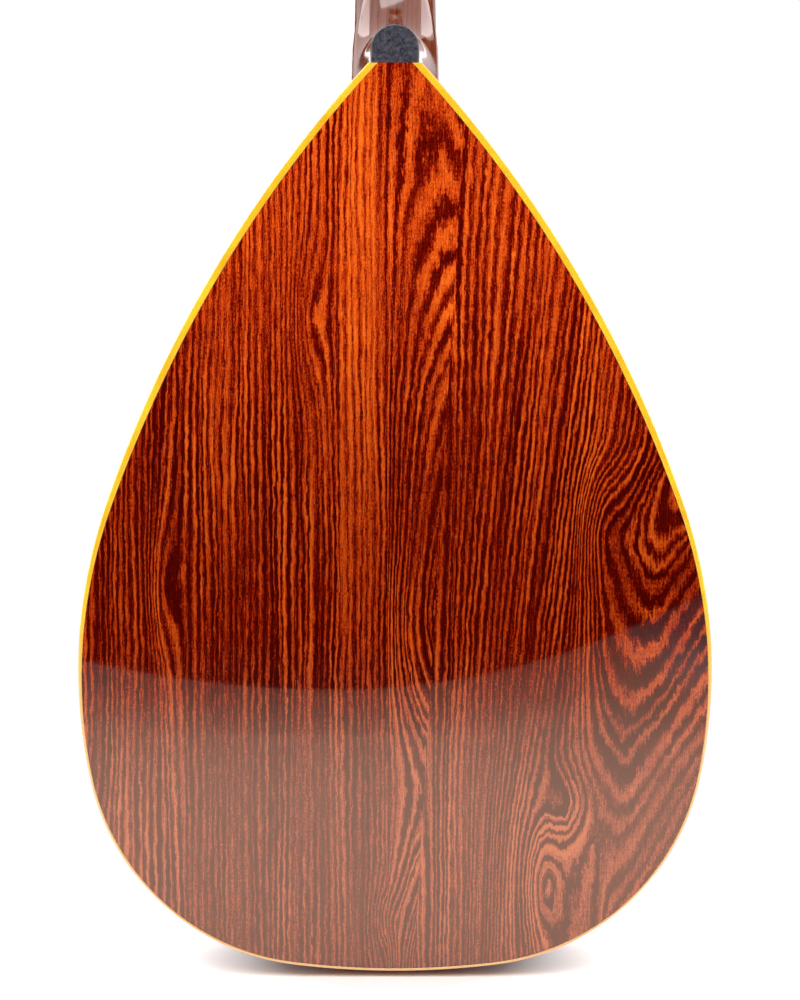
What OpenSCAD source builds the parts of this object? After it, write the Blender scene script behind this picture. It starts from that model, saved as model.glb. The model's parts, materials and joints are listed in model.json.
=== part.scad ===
// Flat-backed teardrop mandolin with open worm-and-wheel tuning machines.
// It is drawn lying on its back: x across, y from the tail to the head, z from the back to the strings.
// upright() then stands it up, neck along +Z and back towards +Y, origin on the back under the bridge.

/* [Body] */
// Greatest width of the body
body_w = 245; // [238:1:252]
// Length of the body from the tail to the neck joint
body_l = 351; // [344:1:358]
// Depth of the body over both plates
body_d = 60; // [52:1:70]
// Width of the body's end where it meets the heel
body_end_w = 21; // [20:0.5:24]
// Radius of the tail, which is nearly straight
tail_r = 320; // [260:5:460]
// Radius of the rounded lower corners
corner_r = 92; // [88:1:96]
// Radius of the flanks
flank_r = 197; // [190:1:204]
// Radius of the long shoulders
shoulder_r = 484; // [460:2:520]
// Angle round the lower corner at which the flank takes over
flank_angle = -12.5; // [-16:0.5:-9]
// Thickness of the back plate
back_t = 2.6; // [2:0.1:3.5]
// Thickness of the soundboard
top_t = 2.8; // [2.2:0.1:3.6]
// Thickness of the bent sides
side_t = 2.4; // [2.2:0.1:3]
// Width of the edge binding
binding_w = 1.9; // [1.2:0.1:2]
// Height of the edge binding
binding_h = 4.6; // [3.8:0.1:6]

/* [Inside the body] */
// Length of the neck block
neck_block_l = 44; // [36:1:60]
// Thickness of the tail block at the centreline
tail_block_l = 20; // [16:1:28]
// Width of the linings
lining_w = 5; // [4:0.5:7]
// Height of the linings
lining_h = 8; // [6:0.5:11]
// Width of a brace
brace_w = 6; // [4:0.5:9]
// Height of a brace
brace_h = 10; // [7:0.5:14]

/* [Soundhole] */
// Radius of the soundhole
soundhole_r = 23; // [20:0.5:25]
// Outer radius of the rosette
rosette_r = 33; // [31:0.5:36]
// Width of the rosette
rosette_w = 5.5; // [4:0.5:6]
// Depth of the rosette's channel
rosette_t = 1; // [0.6:0.1:1.4]
// Half of the pickguard's greatest width
guard_r = 23; // [18:1:26]
// Thickness of the pickguard
guard_t = 0.9; // [0.6:0.1:1.4]

/* [Neck] */
// Length of the open strings, nut to saddle
scale_l = 346; // [340:1:352]
// Fret at which the neck meets the body
joint_fret = 10; // [10:1:11]
// Tilt of the neck towards the back, in degrees
neck_angle = 2.2; // [2:0.1:2.8]
// Width of the neck at the nut
nut_w = 30; // [28:0.5:32]
// Width of the neck at the body
joint_w = 36.5; // [35:0.5:39]
// Depth of the neck's wood at the nut
nut_depth = 13.5; // [12:0.5:15]
// Depth of the neck's wood at the body
joint_depth = 15.5; // [14:0.5:18]
// Squareness of the neck's round back
neck_square = 2.5; // [2:0.1:3]
// Width of the heel at the back
heel_w = 18.6; // [16:0.2:20]
// Length of the heel cap
heel_l = 15; // [13:0.5:18]
// Thickness of the heel cap
heel_cap_t = 1.8; // [1:0.1:3]
// Reach of the heel's sweep along the neck
heel_reach = 51; // [40:1:60]
// Length of the neck's dovetail
dovetail_l = 16; // [12:1:22]

/* [Fretboard] */
// Thickness of the fretboard
board_t = 5; // [4:0.2:6]
// Number of frets
fret_count = 19; // [17:1:20]
// Radius of a fret's crown
fret_r = 1.1; // [0.9:0.05:1.3]
// Width of a fret's tang
tang_w = 0.6; // [0.5:0.05:0.8]
// Depth of a fret's tang
tang_h = 1.8; // [1.2:0.1:2.4]
// Radius of a position dot
dot_r = 2.5; // [1.5:0.1:3]
// Thickness of the nut
nut_t = 5; // [4:0.2:6]

/* [Headstock] */
// Tilt of the headstock behind the neck, in degrees
head_angle = 12; // [10:0.5:13]
// Greatest width of the headstock
head_w = 60; // [58:1:64]
// Width of the headstock near its tip
head_tip_w = 55; // [54:1:58]
// Thickness of the headstock with its overlay
head_t = 14; // [12:0.5:16]
// Thickness of the overlay
overlay_t = 1.5; // [1:0.1:2.5]

/* [Tuning machines] */
// Spacing of the string posts along the headstock
post_pitch = 23; // [22.5:0.1:24]
// Distance of each row of posts from the centreline
post_x = 19; // [18:0.5:20]
// Radius of a string post
post_r = 3; // [2.6:0.1:3.2]
// Height of a string post over the headstock's face
post_h = 14; // [12:0.5:17]
// Number of teeth on a wheel
wheel_teeth = 14; // [13:1:15]
// Module of the teeth, pitch diameter over number of teeth
tooth_module = 0.6; // [0.58:0.01:0.62]
// Thickness of a wheel
wheel_t = 2.4; // [2:0.1:2.6]
// Pitch radius of a worm
worm_r = 2.4; // [2.4:0.05:2.6]
// Length of a worm
worm_l = 7; // [6:0.5:7.5]
// Radius of a worm's shaft
shaft_r = 1.5; // [1.2:0.1:1.6]
// Thickness of a plate
plate_t = 1.2; // [1:0.1:1.6]
// Width of a plate
plate_w = 15; // [14:0.5:15.5]
// Length of a button
button_l = 16; // [14:0.5:18]
// Width of a button
button_w = 12; // [10:0.5:13]
// Thickness of a button
button_t = 6.6; // [5.6:0.2:7.6]

/* [Bridge] */
// Length of the bridge's base
bridge_l = 100; // [92:1:110]
// Width of the bridge's base
bridge_w = 12; // [10:0.5:14]
// Height of the bridge's base
bridge_h = 7; // [6:0.2:7.6]
// Spacing of the bridge's posts
bridge_post_span = 64; // [58:1:70]
// Radius of a bridge post
bridge_post_r = 2; // [1.6:0.1:2.4]
// Radius of a thumbwheel
thumb_r = 7; // [6:0.2:8]
// Thickness of a thumbwheel
thumb_t = 2.2; // [1.6:0.1:2.4]
// Space under the thumbwheels, for lowering the saddle
thumb_drop = 1; // [0.9:0.05:1.3]

/* [Tailpiece] */
// Width of the tailpiece's base
tailpiece_w = 42; // [40:1:46]
// Length of the tailpiece over the soundboard
tailpiece_l = 36; // [30:1:42]
// Length of the tailpiece down the tail
tailpiece_drop = 32; // [30:1:38]
// Thickness of the tailpiece's sheet
sheet_t = 1; // [0.8:0.1:1.4]
// Height of the cover over the tailpiece's base
cover_h = 11; // [10:0.5:14]

/* [Strings] */
// Spacing of the courses at the nut
nut_course = 7.2; // [6.6:0.1:7.6]
// Spacing of the courses at the saddle
saddle_course = 12; // [11:0.2:13]
// Spacing of the courses at the tailpiece
tail_course = 7; // [6.4:0.1:7.4]
// Spacing of a course's two strings at the nut
nut_pair = 1.9; // [1.7:0.1:2.1]
// Spacing of a course's two strings at the saddle
saddle_pair = 2.8; // [2.4:0.1:3.2]
// Spacing of a course's two strings at the tailpiece
tail_pair = 3.4; // [3.2:0.1:3.6]
// Height of the strings over the fretboard at the nut
nut_action = 1.7; // [1.6:0.1:2.2]
// Height of the strings over the fretboard at the octave
octave_action = 2.9; // [2.7:0.1:3.4]

/* [Hidden] */
// Strings from bass to treble, one radius to each course
string_r = [0.48, 0.31, 0.18, 0.13];
// Space between glued curved faces
glue = 0.05;
// Radial running clearance of shafts and posts
run = 0.05;
// Frets that carry a dot, and the one that carries two
dot_frets = [5, 7, 10, 15];
double_dot_fret = 12;
outline_fn = 360;
$fn = 64;

// Body outline: four arcs on each side, tangent where they meet
function polar(r, a) = [r * cos(a), r * sin(a)];
corner_x = body_w / 2 - flank_r + (flank_r - corner_r) * cos(flank_angle);
corner_angle = -acos(corner_x / (tail_r - corner_r));
tail_c = [0, tail_r];
corner_c = tail_c + polar(tail_r - corner_r, corner_angle);
flank_c = corner_c - polar(flank_r - corner_r, flank_angle);
end_from_flank = [body_end_w / 2, body_l] - flank_c;
end_reach = norm(end_from_flank);
shoulder_shift = shoulder_r - flank_r;
shoulder_run = (pow(shoulder_r, 2) - pow(shoulder_shift, 2) - pow(end_reach, 2)) / (2 * shoulder_shift);
shoulder_angle = atan2(end_from_flank.y, end_from_flank.x) - acos(shoulder_run / end_reach);
shoulder_c = flank_c - polar(shoulder_shift, shoulder_angle);
function shoulder_end(inset) = asin((body_l - shoulder_c.y) / (shoulder_r - inset));

// Points along one arc of the outline, in steps of about one facet, without its last point
facet_l = 6;
function arc_points(c, r, inset, a0, a1) =
    let (steps = ceil(r * (a1 - a0) * PI / 180 / facet_l))
    [for (i = [0:steps - 1]) c + polar(r - inset, a0 + (a1 - a0) * i / steps)];

// Right half of the outline, from the tail to the body's end
function half_outline(inset) = concat(
    arc_points(tail_c, tail_r, inset, -90, corner_angle),
    arc_points(corner_c, corner_r, inset, corner_angle, flank_angle),
    arc_points(flank_c, flank_r, inset, flank_angle, shoulder_angle),
    arc_points(shoulder_c, shoulder_r, inset, shoulder_angle, shoulder_end(inset)),
    [shoulder_c + polar(shoulder_r - inset, shoulder_end(inset))]
);

// Neck frame: v along the neck from the body joint, w over the fretboard's underside
nut_v = scale_l * (1 - pow(2, -joint_fret / 12));
neck_end_v = nut_v + nut_t;
function fret_v(i) = nut_v - scale_l * (1 - pow(2, -i / 12));
function neck_half(v) = nut_w / 2 + (joint_w - nut_w) / 2 * (nut_v - v) / nut_v;
function neck_point(x, v, w) = [
    x,
    body_l + v * cos(neck_angle) + w * sin(neck_angle),
    body_d - v * sin(neck_angle) + w * cos(neck_angle)
];
board_margin = 5;
board_end_v = fret_v(fret_count) - board_margin;
cheek_l = 14;

// Headstock frame: v from the back of the nut along the headstock, w over its face
function head_point(x, v, w) = neck_point(
    x,
    neck_end_v + v * cos(head_angle) + w * sin(head_angle),
    -v * sin(head_angle) + w * cos(head_angle)
);
first_post_v = 34;
post_to_tip = 30;
head_l = first_post_v + 3 * post_pitch + post_to_tip;
crown_r = 45;
head_flare = (head_w - nut_w) / 2;
function post_v(row) = first_post_v + row * post_pitch;

// Strings
string_w = board_t + nut_action;
string_slope = neck_angle + atan((octave_action - nut_action) / (scale_l / 2));
nut_point = neck_point(0, nut_v, string_w);
bridge_y = nut_point.y - scale_l * cos(string_slope);
saddle_z = nut_point.z + scale_l * sin(string_slope);
wind_w = 5;
wind_gap = 0.25;
hook_y = 14;
hook_w = 1.8;
hook_t = 1.2;
hook_h = 4.6;
hook_lip = 1;
hook_string_h = 2.6;
string_clear = 0.1;
nut_break = 1;
string_hole_w = 8;
function course_of(s) = floor(s / 2);
function spread(s, course, pair) = (course_of(s) - 1.5) * course + (s % 2 - 0.5) * pair;
function string_side(s) = s < 4 ? -1 : 1;
function string_row(s) = s < 4 ? s : 7 - s;
function string_route(s) = let (r = string_r[course_of(s)], beside = waist_r + r + wind_gap) [
    [spread(s, tail_course, tail_pair), hook_y + hook_t + string_clear, body_d + sheet_t + hook_string_h],
    [spread(s, saddle_course, saddle_pair), bridge_y, saddle_z],
    neck_point(spread(s, nut_course, nut_pair), nut_v + nut_break, string_w),
    head_point(string_side(s) * (post_x - beside), post_v(string_row(s)), wind_w)
];

// Soundboard layout, from the fretboard's end
board_end_y = neck_point(0, board_end_v, 0).y;
rosette_gap = 3;
soundhole_y = board_end_y - rosette_r - rosette_gap;
top_brace_y = [soundhole_y - rosette_r - brace_w, soundhole_y + rosette_r + brace_w];
back_brace_at = [0.22, 0.48, 0.72];
back_brace_y = [for (share = back_brace_at) body_l * share];
guard_offset = 7;
guard_bridge_gap = 9;
guard_rosette_gap = 2;
guard_end = [rosette_r + guard_offset, bridge_y + bridge_w / 2 + guard_bridge_gap];
guard_tip = [rosette_r, soundhole_y + rosette_r + guard_offset];
guard_step = 5;
guard_taper = 1.2;

// Heel, drawn as D-shaped sections from the cap to the shaft
heel_straight = heel_l - heel_w / 2;
heel_sink = 3;
heel_top = body_d - heel_sink;
heel_blend = body_d - joint_depth;
heel_levels = 14;
heel_flare = 1.4;
heel_sweep = 5;
heel_lean = 0.14;
heel_inset = 0.2;
curve_step = 6;
stop_levels = 8;
stop_square = 28;
stop_inset = 0.45;
stop_lap = 1;
dovetail_half = [4.2, 6];
dovetail_floor = 4;

// Tuning machines, measured from the headstock's back
bush_r = 4.5;
bush_flange_r = 5.6;
bush_flange_t = 1;
bush_l = 9;
waist_r = post_r - 0.4;
post_bevel = 0.6;
post_collar = 1;
post_head_h = 3;
string_hole_r = 0.8;
worm_lift = 3.4;
plate_back = -head_t - plate_t;
wheel_mid = plate_back - worm_lift;
hub_r = post_r + 0.45;
wheel_pitch_r = wheel_teeth * tooth_module / 2;
addendum = tooth_module * 0.83;
dedendum = tooth_module * 1.08;
axial_pitch = PI * tooth_module;
centre_d = wheel_pitch_r + worm_r;
tooth_tip_half = 0.2;
tooth_root_half = 0.5;
thread_tip_half = 0.22;
thread_root_half = 0.53;
thread_sink = 0.1;
thread_steps = 16;
worm_core_r = worm_r - dedendum;
lug_t = 1.2;
lug_r = 3.2;
lug_gap = 0.3;
shaft_head_r = 2.2;
shaft_head_t = 1;
button_gap = 4;
button_bore = 9;
wheel_screw_r = 2.2;
wheel_screw_t = 1.2;
screw_before = 9;
screw_after = 14.5;
plate_margin = 3.5;
plate_start_v = first_post_v - screw_before - plate_margin;
plate_end_v = post_v(3) + screw_after + plate_margin;
plate_x = post_x + 0.5;
plate_screw_r = 1.2;
plate_screw_head_r = 2.2;
plate_screw_head_t = 1;
plate_screw_l = 8;

// Bridge
thumb_gap = 0.05;
base_top = body_d + bridge_h;
thumb_z = base_top + thumb_drop;
saddle_bottom = thumb_z + thumb_t + thumb_gap;
bridge_tip_h = 3;
bridge_slope_l = 10;
bridge_arch = 2.4;
bridge_foot = bridge_l * 0.19;
saddle_l = bridge_l - 6;
saddle_w = bridge_w - 3;
saddle_crest = 4;
saddle_end_h = 3.6;
saddle_margin = 3;
bridge_post_reach = 3.2;
bridge_post_floor = 1.6;
bridge_post_top = saddle_bottom + bridge_post_reach;
bridge_post_sink = bridge_h - bridge_post_floor;
saddle_bore = 5;

// Tailpiece
cover_gap = 0.3;
cover_w = tailpiece_w + 2 * (sheet_t + cover_gap);
cover_rise = 5;
cover_over = 9;
cover_l = tailpiece_l + cover_over;
cover_bow_r = cover_w;
cover_z = body_d + sheet_t + string_clear;
tail_wall_h = 4.5;
tail_screw_r = 1.5;
tail_screw_head_r = 3;
tail_screw_l = 14;
tail_screw_at = [[-12, 9], [12, 9], [-12, 25], [12, 25]];

module upright() {
    rotate([90, 0, 0]) translate([0, -bridge_y, 0]) children();
}

module in_neck() {
    translate([0, body_l, body_d]) rotate([-neck_angle, 0, 0]) children();
}

module in_head() {
    in_neck() translate([0, neck_end_v, 0]) rotate([-head_angle, 0, 0]) children();
}

module both_sides() {
    children();
    mirror([1, 0, 0]) children();
}

// Lofts and tubes: rings of points joined by triangles, each ring counter-clockwise about the way ahead
function ring_faces(rings, n) = concat(
    [for (i = [0:rings - 2], j = [0:n - 1]) [i * n + j, (i + 1) * n + (j + 1) % n, i * n + (j + 1) % n]],
    [for (i = [0:rings - 2], j = [0:n - 1]) [i * n + j, (i + 1) * n + j, (i + 1) * n + (j + 1) % n]],
    [[for (j = [0:n - 1]) j], [for (j = [n - 1:-1:0]) (rings - 1) * n + j]]
);

module loft(rings) {
    polyhedron(points = [for (ring = rings) each ring], faces = ring_faces(len(rings), len(rings[0])));
}

function unit(v) = v / norm(v);

function heading(route, i) = unit(
    (i == 0 ? [0, 0, 0] : unit(route[i] - route[i - 1])) +
    (i == len(route) - 1 ? [0, 0, 0] : unit(route[i + 1] - route[i]))
);

function tube_ring(centre, ahead, r, sides) =
    let (across = unit([1, 0, 0] - ahead.x * ahead), over = cross(ahead, across))
    [for (j = [0:sides - 1]) centre + r * (cos(360 * j / sides) * across + sin(360 * j / sides) * over)];

module tube(route, r, sides = 8) {
    loft([for (i = [0:len(route) - 1]) tube_ring(route[i], heading(route, i), r, sides)]);
}

// Body outlines
module band(y0, y1) {
    translate([-body_w, y0]) square([2 * body_w, y1 - y0]);
}

module body_outline(inset = 0) {
    half = half_outline(inset);
    polygon(concat(half, [for (i = [len(half) - 1:-1:1]) [-half[i].x, half[i].y]]));
}

module outline_ring(outer, inner) {
    difference() {
        body_outline(outer);
        body_outline(inner);
    }
}

module slab(z0, z1) {
    translate([0, 0, z0]) linear_extrude(z1 - z0) children();
}

inside_z = [back_t, body_d - top_t];

// Dovetail of the neck, wider inside the body
module dovetail_plan(clear = 0) {
    mouth = dovetail_half[0] + clear;
    root = dovetail_half[1] + clear;
    deep = body_l - dovetail_l - clear;
    polygon([[-mouth, body_l + 1], [-root, deep], [root, deep], [mouth, body_l + 1]]);
}

module dovetail(clear = 0) {
    slab(back_t + dovetail_floor - clear, body_d - glue + clear) dovetail_plan(clear);
}

// Sound box
module back_plate() {
    color("saddlebrown") upright() slab(0, back_t) body_outline(binding_w + glue);
}

module back_binding() {
    color("gold") upright() slab(0, binding_h) outline_ring(0, binding_w);
}

module top_binding() {
    color("gold") upright() slab(body_d - binding_h, body_d) outline_ring(0, binding_w);
}

module soundboard() {
    color("burlywood") upright() difference() {
        slab(body_d - top_t, body_d) body_outline(binding_w + glue);
        translate([0, soundhole_y, 0]) cylinder(r = soundhole_r, h = 2 * body_d);
        translate([0, soundhole_y, body_d - rosette_t]) rosette_ring(glue, rosette_t + 1);
        dovetail(2 * glue);
    }
}

module rosette_ring(clear, h) {
    difference() {
        cylinder(r = rosette_r + clear, h = h);
        translate([0, 0, -1]) cylinder(r = rosette_r - rosette_w - clear, h = h + 2);
    }
}

module rosette() {
    color("ivory") upright() translate([0, soundhole_y, body_d - rosette_t]) rosette_ring(0, rosette_t);
}

module rim() {
    difference() {
        slab(inside_z[0], inside_z[1]) outline_ring(0, side_t);
        slab(-1, binding_h) outline_ring(-1, binding_w + glue);
        slab(body_d - binding_h, body_d + 1) outline_ring(-1, binding_w + glue);
        tail_screw_shanks(glue);
    }
}

module half_space(side) {
    translate([side > 0 ? 0 : -body_w, -body_l, -body_d]) cube([body_w, 3 * body_l, 3 * body_d]);
}

module side(hand) {
    color("sienna") upright() intersection() {
        rim();
        half_space(hand);
    }
}

module block(y0, y1) {
    slab(inside_z[0], inside_z[1]) intersection() {
        body_outline(side_t + glue);
        band(y0, y1);
    }
}

module neck_block() {
    color("peru") upright() difference() {
        block(body_l - neck_block_l, body_l);
        dovetail(2 * glue);
    }
}

module tail_block() {
    color("peru") upright() difference() {
        block(-body_l, tail_block_l);
        tail_screw_shanks(glue);
    }
}

module lining_strip(z0, z1) {
    slab(z0, z1) intersection() {
        outline_ring(side_t + glue, side_t + glue + lining_w);
        band(tail_block_l, body_l - neck_block_l);
    }
}

module back_linings() {
    color("tan") upright() lining_strip(inside_z[0], inside_z[0] + lining_h);
}

module top_linings() {
    color("tan") upright() lining_strip(inside_z[1] - lining_h, inside_z[1]);
}

module brace_set(at, z0) {
    intersection() {
        slab(z0, z0 + brace_h) body_outline(side_t + lining_w + 2 * glue);
        for (y = at) translate([-body_w, y - brace_w / 2, z0]) cube([2 * body_w, brace_w, brace_h]);
    }
}

module back_braces() {
    color("wheat") upright() brace_set(back_brace_y, inside_z[0]);
}

module top_braces() {
    color("wheat") upright() brace_set(top_brace_y, inside_z[1] - brace_h);
}

// Teardrop pickguard, pointed by the fretboard and hollowed round the rosette
function drop_half(a) = sin(a) * pow(sin(a / 2), guard_taper);

module pickguard() {
    along = guard_end - guard_tip;
    long = norm(along);
    fullest = max([for (a = [0:guard_step:180]) drop_half(a)]);
    one_side = [for (a = [0:guard_step:180]) [long * (1 - cos(a)) / 2, guard_r * drop_half(a) / fullest]];
    other_side = [for (i = [len(one_side) - 2:-1:1]) [one_side[i].x, -one_side[i].y]];
    color("maroon") upright() slab(body_d, body_d + guard_t) difference() {
        translate(guard_tip) rotate(atan2(along.y, along.x)) polygon(concat(one_side, other_side));
        translate([0, soundhole_y]) circle(rosette_r + guard_rosette_gap);
    }
}

// Neck: a round back of given squareness, hanging from a flat top
function round_back(half, v, top, depth, square) = [
    for (a = [0:curve_step:180]) let (c = cos(a), k = 2 / square)
        [half * sign(c) * pow(abs(c), k), v, top - depth * pow(sin(a), k)]
];

module shaft() {
    slope = (nut_depth - joint_depth) / nut_v;
    in_neck() loft([
        for (v = [-cheek_l, neck_end_v])
            round_back(neck_half(v), v, 0, joint_depth + slope * v, neck_square)
    ]);
}

// Handstop, where the neck's round back opens out into the flat headstock and runs a little way into it
function stop_ring(v) =
    let (t = min(1, v / head_flare), open = sqrt(1 - t * t))
    round_back(
        head_w / 2 - stop_inset - head_flare * open,
        v,
        -overlay_t,
        head_t - overlay_t - stop_inset,
        neck_square + stop_square * t * t
    );

module handstop() {
    rise = head_flare / stop_levels;
    loft(concat([for (i = [0:stop_levels]) stop_ring(i * rise)], [stop_ring(head_flare + stop_lap)]));
}

function heel_ring(z) =
    let (
        t = min(1, (z - heel_cap_t) / (heel_blend - heel_cap_t)),
        half = heel_w / 2 + (neck_half(0) - heel_inset - heel_w / 2) * pow(t, heel_flare),
        sweep = heel_lean * t + (1 - heel_lean) * pow(t, heel_sweep),
        nose = heel_w / 2 + (heel_reach - heel_w / 2) * sweep,
        y = body_l + heel_straight
    )
    concat(
        [[half, body_l - cheek_l, z]],
        [for (a = [0:curve_step:180]) [half * cos(a), y + nose * sin(a), z]],
        [[-half, body_l - cheek_l, z]]
    );

module heel() {
    rise = (heel_blend - heel_cap_t) / heel_levels;
    loft(concat([for (i = [0:heel_levels]) heel_ring(heel_cap_t + i * rise)], [heel_ring(heel_top)]));
}

module head_plan() {
    difference() {
        intersection() {
            polygon([
                [-head_w / 2, 0],
                [head_w / 2, 0],
                [head_tip_w / 2, head_l],
                [-head_tip_w / 2, head_l]
            ]);
            union() {
                translate([0, head_l - crown_r]) circle(crown_r);
                band(0, head_l - crown_r);
            }
        }
        both_sides() translate([head_w / 2, 0]) circle(head_flare);
    }
}

module at_posts() {
    for (side = [-1, 1], row = [0:3]) translate([side * post_x, post_v(row), 0]) children();
}

module neck() {
    color("brown") upright() difference() {
        union() {
            difference() {
                union() {
                    shaft();
                    heel();
                }
                slab(-1, 2 * body_d) body_outline(-glue);
                translate([-body_w, 0, body_d]) cube([2 * body_w, body_l, body_d]);
            }
            dovetail();
            in_head() handstop();
            in_head() slab(-head_t, -overlay_t) intersection() {
                head_plan();
                band(head_flare, head_l);
            }
        }
        in_head() translate([-body_w, 0, -overlay_t]) cube([2 * body_w, head_l, head_t]);
        in_head() at_posts() translate([0, 0, -2 * head_t]) cylinder(r = bush_r + glue, h = 3 * head_t);
        in_head() at_plate_screws() plate_screw_shank(glue);
    }
}

module heel_cap() {
    color("black") upright() slab(0, heel_cap_t) {
        translate([-heel_w / 2, body_l]) square([heel_w, heel_straight]);
        intersection() {
            translate([0, body_l + heel_straight]) circle(heel_w / 2);
            band(body_l + heel_straight, 2 * body_l);
        }
    }
}

module board_plan(v0, v1) {
    polygon([
        [-neck_half(v0), v0],
        [neck_half(v0), v0],
        [neck_half(v1), v1],
        [-neck_half(v1), v1]
    ]);
}

module fretboard_wedge() {
    thin = 3;
    color("saddlebrown") upright() intersection() {
        in_neck() slab(-board_t, 0) board_plan(board_end_v, -thin);
        translate([-body_w, 0, body_d]) cube([2 * body_w, body_l, body_d]);
    }
}

module at_dots() {
    for (i = dot_frets) translate([0, (fret_v(i) + fret_v(i - 1)) / 2, 0]) children();
    for (x = [-1, 1]) {
        middle = (fret_v(double_dot_fret) + fret_v(double_dot_fret - 1)) / 2;
        translate([x * joint_w / 5, middle, 0]) children();
    }
}

module dot(clear = 0) {
    dot_t = 1.2;
    translate([0, 0, board_t - dot_t - clear]) cylinder(r = dot_r + clear, h = dot_t + clear);
}

module fretboard() {
    color("saddlebrown") upright() in_neck() difference() {
        slab(0, board_t) board_plan(board_end_v, nut_v);
        for (i = [1:fret_count]) translate([-joint_w, fret_v(i) - tang_w / 2, board_t - tang_h])
            cube([2 * joint_w, tang_w, tang_h + 1]);
        at_dots() dot(glue);
    }
}

module fret(half) {
    inset = 0.3;
    long = 2 * (half - inset);
    thin = tang_w - 2 * glue;
    rotate([0, 90, 0]) difference() {
        cylinder(r = fret_r, h = long, center = true);
        translate([0, -2 * fret_r, -long]) cube([2 * fret_r, 4 * fret_r, 2 * long]);
    }
    translate([-long / 2, -thin / 2, glue - tang_h]) cube([long, thin, tang_h - glue + fret_r / 2]);
}

module frets() {
    color("silver") upright() in_neck()
        for (i = [1:fret_count]) translate([0, fret_v(i), board_t]) fret(neck_half(fret_v(i)));
}

module position_dots() {
    color("ivory") upright() in_neck() at_dots() dot();
}

module nut() {
    top = string_w + string_clear;
    fall = 1.6;
    level = 1.2;
    color("ivory") upright() difference() {
        in_neck() translate([nut_w / 2, nut_v, 0]) rotate([90, 0, -90]) linear_extrude(nut_w)
            polygon([[0, 0], [-nut_t, 0], [-nut_t, top - fall], [-level, top], [0, top]]);
        for (s = [0:7]) tube(string_route(s), string_r[course_of(s)] + glue);
    }
}

module headstock_overlay() {
    color("black") upright() in_head() difference() {
        slab(-overlay_t, 0) head_plan();
        at_posts() translate([0, 0, -head_t]) cylinder(r = bush_r + glue, h = 2 * head_t);
    }
}

// Bridge
module at_bridge_posts() {
    for (side = [-1, 1]) translate([side * bridge_post_span / 2, bridge_y, 0]) children();
}

module bridge_profile(width) {
    translate([0, bridge_y + width / 2, 0]) rotate([90, 0, 0]) linear_extrude(width) children();
}

module bridge_base() {
    half = bridge_l / 2;
    level = half - bridge_slope_l;
    arch_r = (pow(bridge_foot, 2) + pow(bridge_arch, 2)) / (2 * bridge_arch);
    color("saddlebrown") upright() difference() {
        bridge_profile(bridge_w) translate([0, body_d]) difference() {
            polygon([
                [-half, 0], [half, 0], [half, bridge_tip_h],
                [level, bridge_h], [-level, bridge_h], [-half, bridge_tip_h]
            ]);
            translate([0, bridge_arch - arch_r]) circle(arch_r, $fn = outline_fn);
        }
        at_bridge_posts() translate([0, 0, base_top - bridge_post_sink])
            cylinder(r = bridge_post_r + glue, h = bridge_h);
    }
}

module bridge_posts() {
    color("gold") upright() at_bridge_posts() translate([0, 0, base_top - bridge_post_sink])
        cylinder(r = bridge_post_r, h = bridge_post_top - base_top + bridge_post_sink);
}

module bridge_saddle() {
    half = saddle_l / 2;
    top = saddle_z + string_clear;
    shoulder = saddle_course * 1.5 + saddle_pair + saddle_margin;
    end_top = saddle_bottom + saddle_end_h;
    color("saddlebrown") upright() difference() {
        intersection() {
            bridge_profile(saddle_w) polygon([
                [-half, saddle_bottom], [half, saddle_bottom], [half, end_top],
                [shoulder, top], [-shoulder, top], [-half, end_top]
            ]);
            translate([-half, bridge_y, 0]) rotate([90, 0, 90]) linear_extrude(2 * half) polygon([
                [-saddle_w / 2, saddle_bottom], [saddle_w / 2, saddle_bottom],
                [saddle_crest / 2, top], [-saddle_crest / 2, top]
            ]);
        }
        at_bridge_posts() translate([0, 0, saddle_bottom - 1])
            cylinder(r = bridge_post_r + 2 * run, h = saddle_bore + 1);
        for (s = [0:7]) tube(string_route(s), string_r[course_of(s)] + glue);
    }
}

module thumbwheel(hand) {
    bevel = 0.4;
    bore_r = bridge_post_r + run;
    at = [hand * bridge_post_span / 2, bridge_y, thumb_z];
    color("gold") upright() translate(at) rotate_extrude() polygon([
        [bore_r, 0], [thumb_r - bevel, 0], [thumb_r, bevel],
        [thumb_r, thumb_t - bevel], [thumb_r - bevel, thumb_t], [bore_r, thumb_t]
    ]);
}

// Tailpiece
module at_tail_screws() {
    for (p = tail_screw_at) translate([p.x, -sheet_t, body_d - p.y]) rotate([-90, 0, 0]) children();
}

module tail_screw_shanks(clear = 0) {
    at_tail_screws() translate([0, 0, -1]) cylinder(r = tail_screw_r + clear, h = tail_screw_l + clear + 1);
}

module tailpiece_screws() {
    dome = 1.4;
    dome_r = (pow(tail_screw_head_r, 2) + dome * dome) / (2 * dome);
    color("silver") upright() at_tail_screws() {
        cylinder(r = tail_screw_r, h = tail_screw_l);
        intersection() {
            translate([0, 0, dome_r - dome]) sphere(dome_r);
            translate([0, 0, -dome]) cylinder(r = 2 * tail_screw_head_r, h = dome);
        }
    }
}

module hook() {
    translate([-hook_w / 2, 0, 0]) cube([hook_w, hook_t, hook_h]);
    translate([-hook_w / 2, -hook_t, hook_h - hook_lip]) cube([hook_w, 2 * hook_t, hook_lip]);
}

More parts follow.
